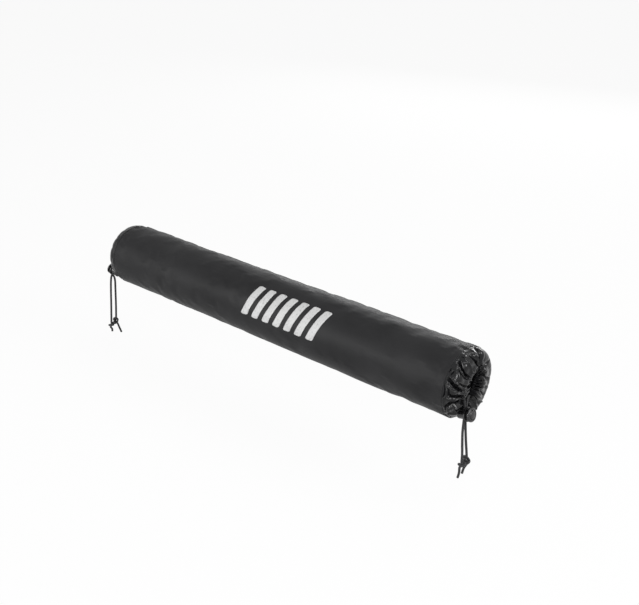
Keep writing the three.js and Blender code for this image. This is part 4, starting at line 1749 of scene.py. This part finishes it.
class FoamTube:
    """The foam tube inside, in one length with rounded ends."""

    segments = 96
    corner = 6.0
    short_of_seam = 1.0
    unevenness = 0.002

    def __init__(self, material: Material) -> None:
        """Keeps the finish."""
        self.material = material

    def build(self) -> Piece:
        """Makes the tube, its skin slightly uneven."""
        radius, half, corner = S.pad_radius - S.fabric - S.clearance, S.seam_x - self.short_of_seam, self.corner
        bend = np.linspace(0, math.pi / 2, 7)
        left = [(radius - corner * (1 - math.sin(a)), -half + corner * (1 - math.cos(a))) for a in bend]
        sides = [(radius, x) for x in np.linspace(-half + 12, half - 12, 30)]
        right = [(r, -x) for r, x in left[::-1]]
        bore = [(S.bore_radius, x) for x in np.linspace(half, -half, 20)]
        profile = np.array([*left, *sides, *right, *bore])
        turn = full_turn(self.segments)
        x = np.broadcast_to(profile[:, 1][:, None], (len(profile), self.segments))
        r = np.broadcast_to(profile[:, 0][:, None], x.shape)
        points = np.stack([x, r * np.cos(turn), r * np.sin(turn)], axis=-1).reshape(-1, 3)
        points[:, 1:] *= 1 - self.unevenness * (1 + lattice_noise(points, 9, 77))[:, None]
        faces = face_out(points, grid_faces(len(profile), self.segments, wrap_rows=True))
        return mesh_object("foam_tube", points, faces, self.material)


def declare(piece: Piece, body: str, slot: str, *nodes: str) -> Piece:
    """Rides a piece on a body and hides the nodes that it stands for."""
    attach(piece, body)
    if nodes:
        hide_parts(*nodes)
    return piece


OVERHAND = np.array(
    [
        (-2.7, -0.4, 1.2), (-0.6, 0.8, 1.7), (1.2, 2.6, 1.5), (2.4, 3.4, -0.5), (2.7, 2.5, -2.8), (1.8, 0.4, -3.8),
        (0.6, -1.5, -2.9), (0, -2.2, -0.6), (-0.5, -2.4, 1.9), (-1.4, -1.3, 3.9), (-2.5, 0.9, 4.1), (-2.7, 2.8, 2.6),
        (-1.9, 3.1, 0.3), (-0.3, 1.8, -1.1), (1.7, 0.4, -0.8), (3.8, -1, -0.9),
    ]
)  # a tightened overhand knot round its middle: along the pull, to its bulk and sideways


def knot_mesh(name: str, at: EndFrame, strand: Strand, tail: CentripetalCurve, material: Material) -> Piece:
    """The overhand knot below a tail and the cut end below that.

    Args:
        name: The piece's name.
        at: The end's frame.
        strand: Which strand.
        tail: The tail's route.
        material: The cord's finish.

    Returns:
        The knot and its cut end in one piece.
    """
    line = tail.spaced(0.5)
    pull = line[-1] - line[-2]
    pull /= np.linalg.norm(pull)
    middle = line[-1] + pull * (S.knot_radius + S.clearance)
    stub = at.world(np.array(strand.stub[0]), np.array(strand.stub[1:]))
    forward = pull + stub / np.linalg.norm(stub)
    forward /= np.linalg.norm(forward)
    side = np.cross(forward, [1, 0, 0])
    side /= np.linalg.norm(side)
    turn = math.radians(strand.knot_turn)
    bulk = math.cos(turn) * side + math.sin(turn) * np.cross(forward, side)
    axes = np.array([forward, bulk, np.cross(forward, bulk)])
    route = np.vstack([line[-1] + pull * 0.02, middle + OVERHAND @ axes, middle + stub * 0.62, middle + stub])
    return CordPiece(name, route, material, 0.4).piece


class Stitching:
    """Rows of stitches, each repeated along its line by one node tree."""

    pitch = 3.0
    stitch = 2.4
    thread = 0.5

    def __init__(self, material: Material) -> None:
        """Keeps the thread and makes the node tree."""
        self.material = material
        self.tree = self.build_tree()

    def build_tree(self) -> bpy.types.GeometryNodeTree:
        """Makes the tree that turns a line into stitches."""
        tree = bpy.data.node_groups.new("stitch_row", "GeometryNodeTree")
        tree.interface.new_socket("Line", in_out="INPUT", socket_type="NodeSocketGeometry")
        tree.interface.new_socket("Pitch", in_out="INPUT", socket_type="NodeSocketFloat")
        tree.interface.new_socket("Stitch Size", in_out="INPUT", socket_type="NodeSocketVector")
        tree.interface.new_socket("Thread", in_out="INPUT", socket_type="NodeSocketMaterial")
        tree.interface.new_socket("Stitches", in_out="OUTPUT", socket_type="NodeSocketGeometry")
        given = add_node(tree, "NodeGroupInput").outputs
        curve = add_node(tree, "GeometryNodeMeshToCurve", {"Mesh": given["Line"]}).outputs[0]
        dots = add_node(tree, "GeometryNodeResampleCurve", {"Curve": curve, "Length": given["Pitch"]}, mode="LENGTH")
        tangent = add_node(tree, "GeometryNodeInputTangent").outputs[0]
        turned = add_node(tree, "FunctionNodeAlignRotationToVector", {"Vector": tangent}, axis="X").outputs[0]
        bead = add_node(tree, "GeometryNodeMeshUVSphere", {"Segments": 6, "Rings": 5, "Radius": 0.5}).outputs["Mesh"]
        rows = add_node(
            tree,
            "GeometryNodeInstanceOnPoints",
            {"Points": dots.outputs[0], "Instance": bead, "Rotation": turned, "Scale": given["Stitch Size"]},
        ).outputs[0]
        solid = add_node(tree, "GeometryNodeRealizeInstances", {"Geometry": rows}).outputs[0]
        faced = add_node(tree, "GeometryNodeSetMaterial", {"Geometry": solid, "Material": given["Thread"]}).outputs[0]
        add_node(tree, "NodeGroupOutput", {"Stitches": faced})
        return tree

    def sew(self, name: str, lines: Sequence[np.ndarray]) -> Piece:
        """Sews stitches along lines.

        Args:
            name: The piece's name.
            lines: Each line's points in millimetres.

        Returns:
            A plain mesh of all the stitches.
        """
        points, edges = [], []
        for line in lines:
            first = len(points)
            points += (np.asarray(line) * MM).tolist()
            edges += [(first + k, first + k + 1) for k in range(len(line) - 1)]
        mesh = bpy.data.meshes.new(name)
        mesh.from_pydata(points, edges, [])
        made = bpy.data.objects.new(name, mesh)
        bpy.context.scene.collection.objects.link(made)
        nodes = made.modifiers.new("stitches", "NODES")
        nodes.node_group = self.tree
        values = {
            "Pitch": self.pitch * MM,
            "Stitch Size": (self.stitch * MM, self.thread * MM, self.thread * MM),
            "Thread": self.material,
        }
        for socket in self.tree.interface.items_tree:
            if socket.name in values:
                nodes[socket.identifier] = values[socket.name]
        made = plain(made)
        made.data.shade_smooth()
        return made

    def on_sleeve(self, sleeve: Sleeve) -> Piece:
        """The two rows that close the lap."""
        x = np.linspace(-S.seam_x + 4, S.seam_x - 4, 260)
        lines = [sleeve.place_on(x, np.full(x.shape, S.lap_turn - arc / S.pad_radius), 0.1) for arc in S.lap_rows]
        return self.sew("sleeve_stitches", lines)


def main() -> None:
    """Builds the pad, piece by piece."""
    logging.basicConfig(level=logging.INFO, format="%(name)s: %(message)s")
    PadCamera().build()
    braid = BraidedPolyester().build()
    frames = {plan.end: EndFrame(plan) for plan in PLANS}
    for end, at in frames.items():
        for strand in at.plan.strands:
            points = at.tail_points(strand)
            tail = CordPiece(f"tail_{end.value}_{strand.name}_braid", points, braid)
            declare(tail.piece, "pad", "cord", f"tail_{end.value}_{strand.name}")
            knot = knot_mesh(f"knot_{end.value}_{strand.name}_braid", at, strand, CentripetalCurve(points), braid)
            declare(knot, "pad", "cord", f"knot_{end.value}_{strand.name}")
        loop = CordPiece(f"drawcord_{end.value}_braid", at.drawcord_points(), braid)
        declare(loop.piece, "pad", "cord", f"drawcord_{end.value}")
        log.info("cords of the %s end: drawcord %.0f mm", end.value, loop.length)
    polyester, nylon = CoatedPolyester().build(), ThinNylon().build()
    acetal, steel = MouldedAcetal().build(), SpringSteel().build()
    sleeve = Sleeve(polyester)
    cloth = declare(sleeve.build(), "pad", "sleeve", "sleeve")
    declare(Stitching(SewingThread().build()).on_sleeve(sleeve), "pad", "sleeve")
    foam = declare(FoamTube(ClosedCellFoam().build()).build(), "pad", "foam", "foam_right", "foam_left")
    bars = PrintedBars(sleeve, PrintedInk().build())
    for number in range(S.bar_count):
        declare(bars.build(number), "pad", "print", f"print_bar_{number + 1}")
    for end, at in frames.items():
        maker = Collar(at, sleeve, (nylon, polyester))
        collar = declare(maker.build(), "pad", "collar", f"collar_{end.value}")
        lock = CordLock(at, acetal)
        declare(lock.body(), "pad", "lock", f"lock_body_{end.value}")
        declare(lock.button(), f"button_{end.value}", "lock", f"lock_button_{end.value}")
        spring = lock.spring(steel)
        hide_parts(f"lock_spring_{end.value}")
        log.info("%s end: %d faces in the collar", end.value, len(collar.data.polygons))
    Studio().build()


if __name__ == "__main__":
    main()
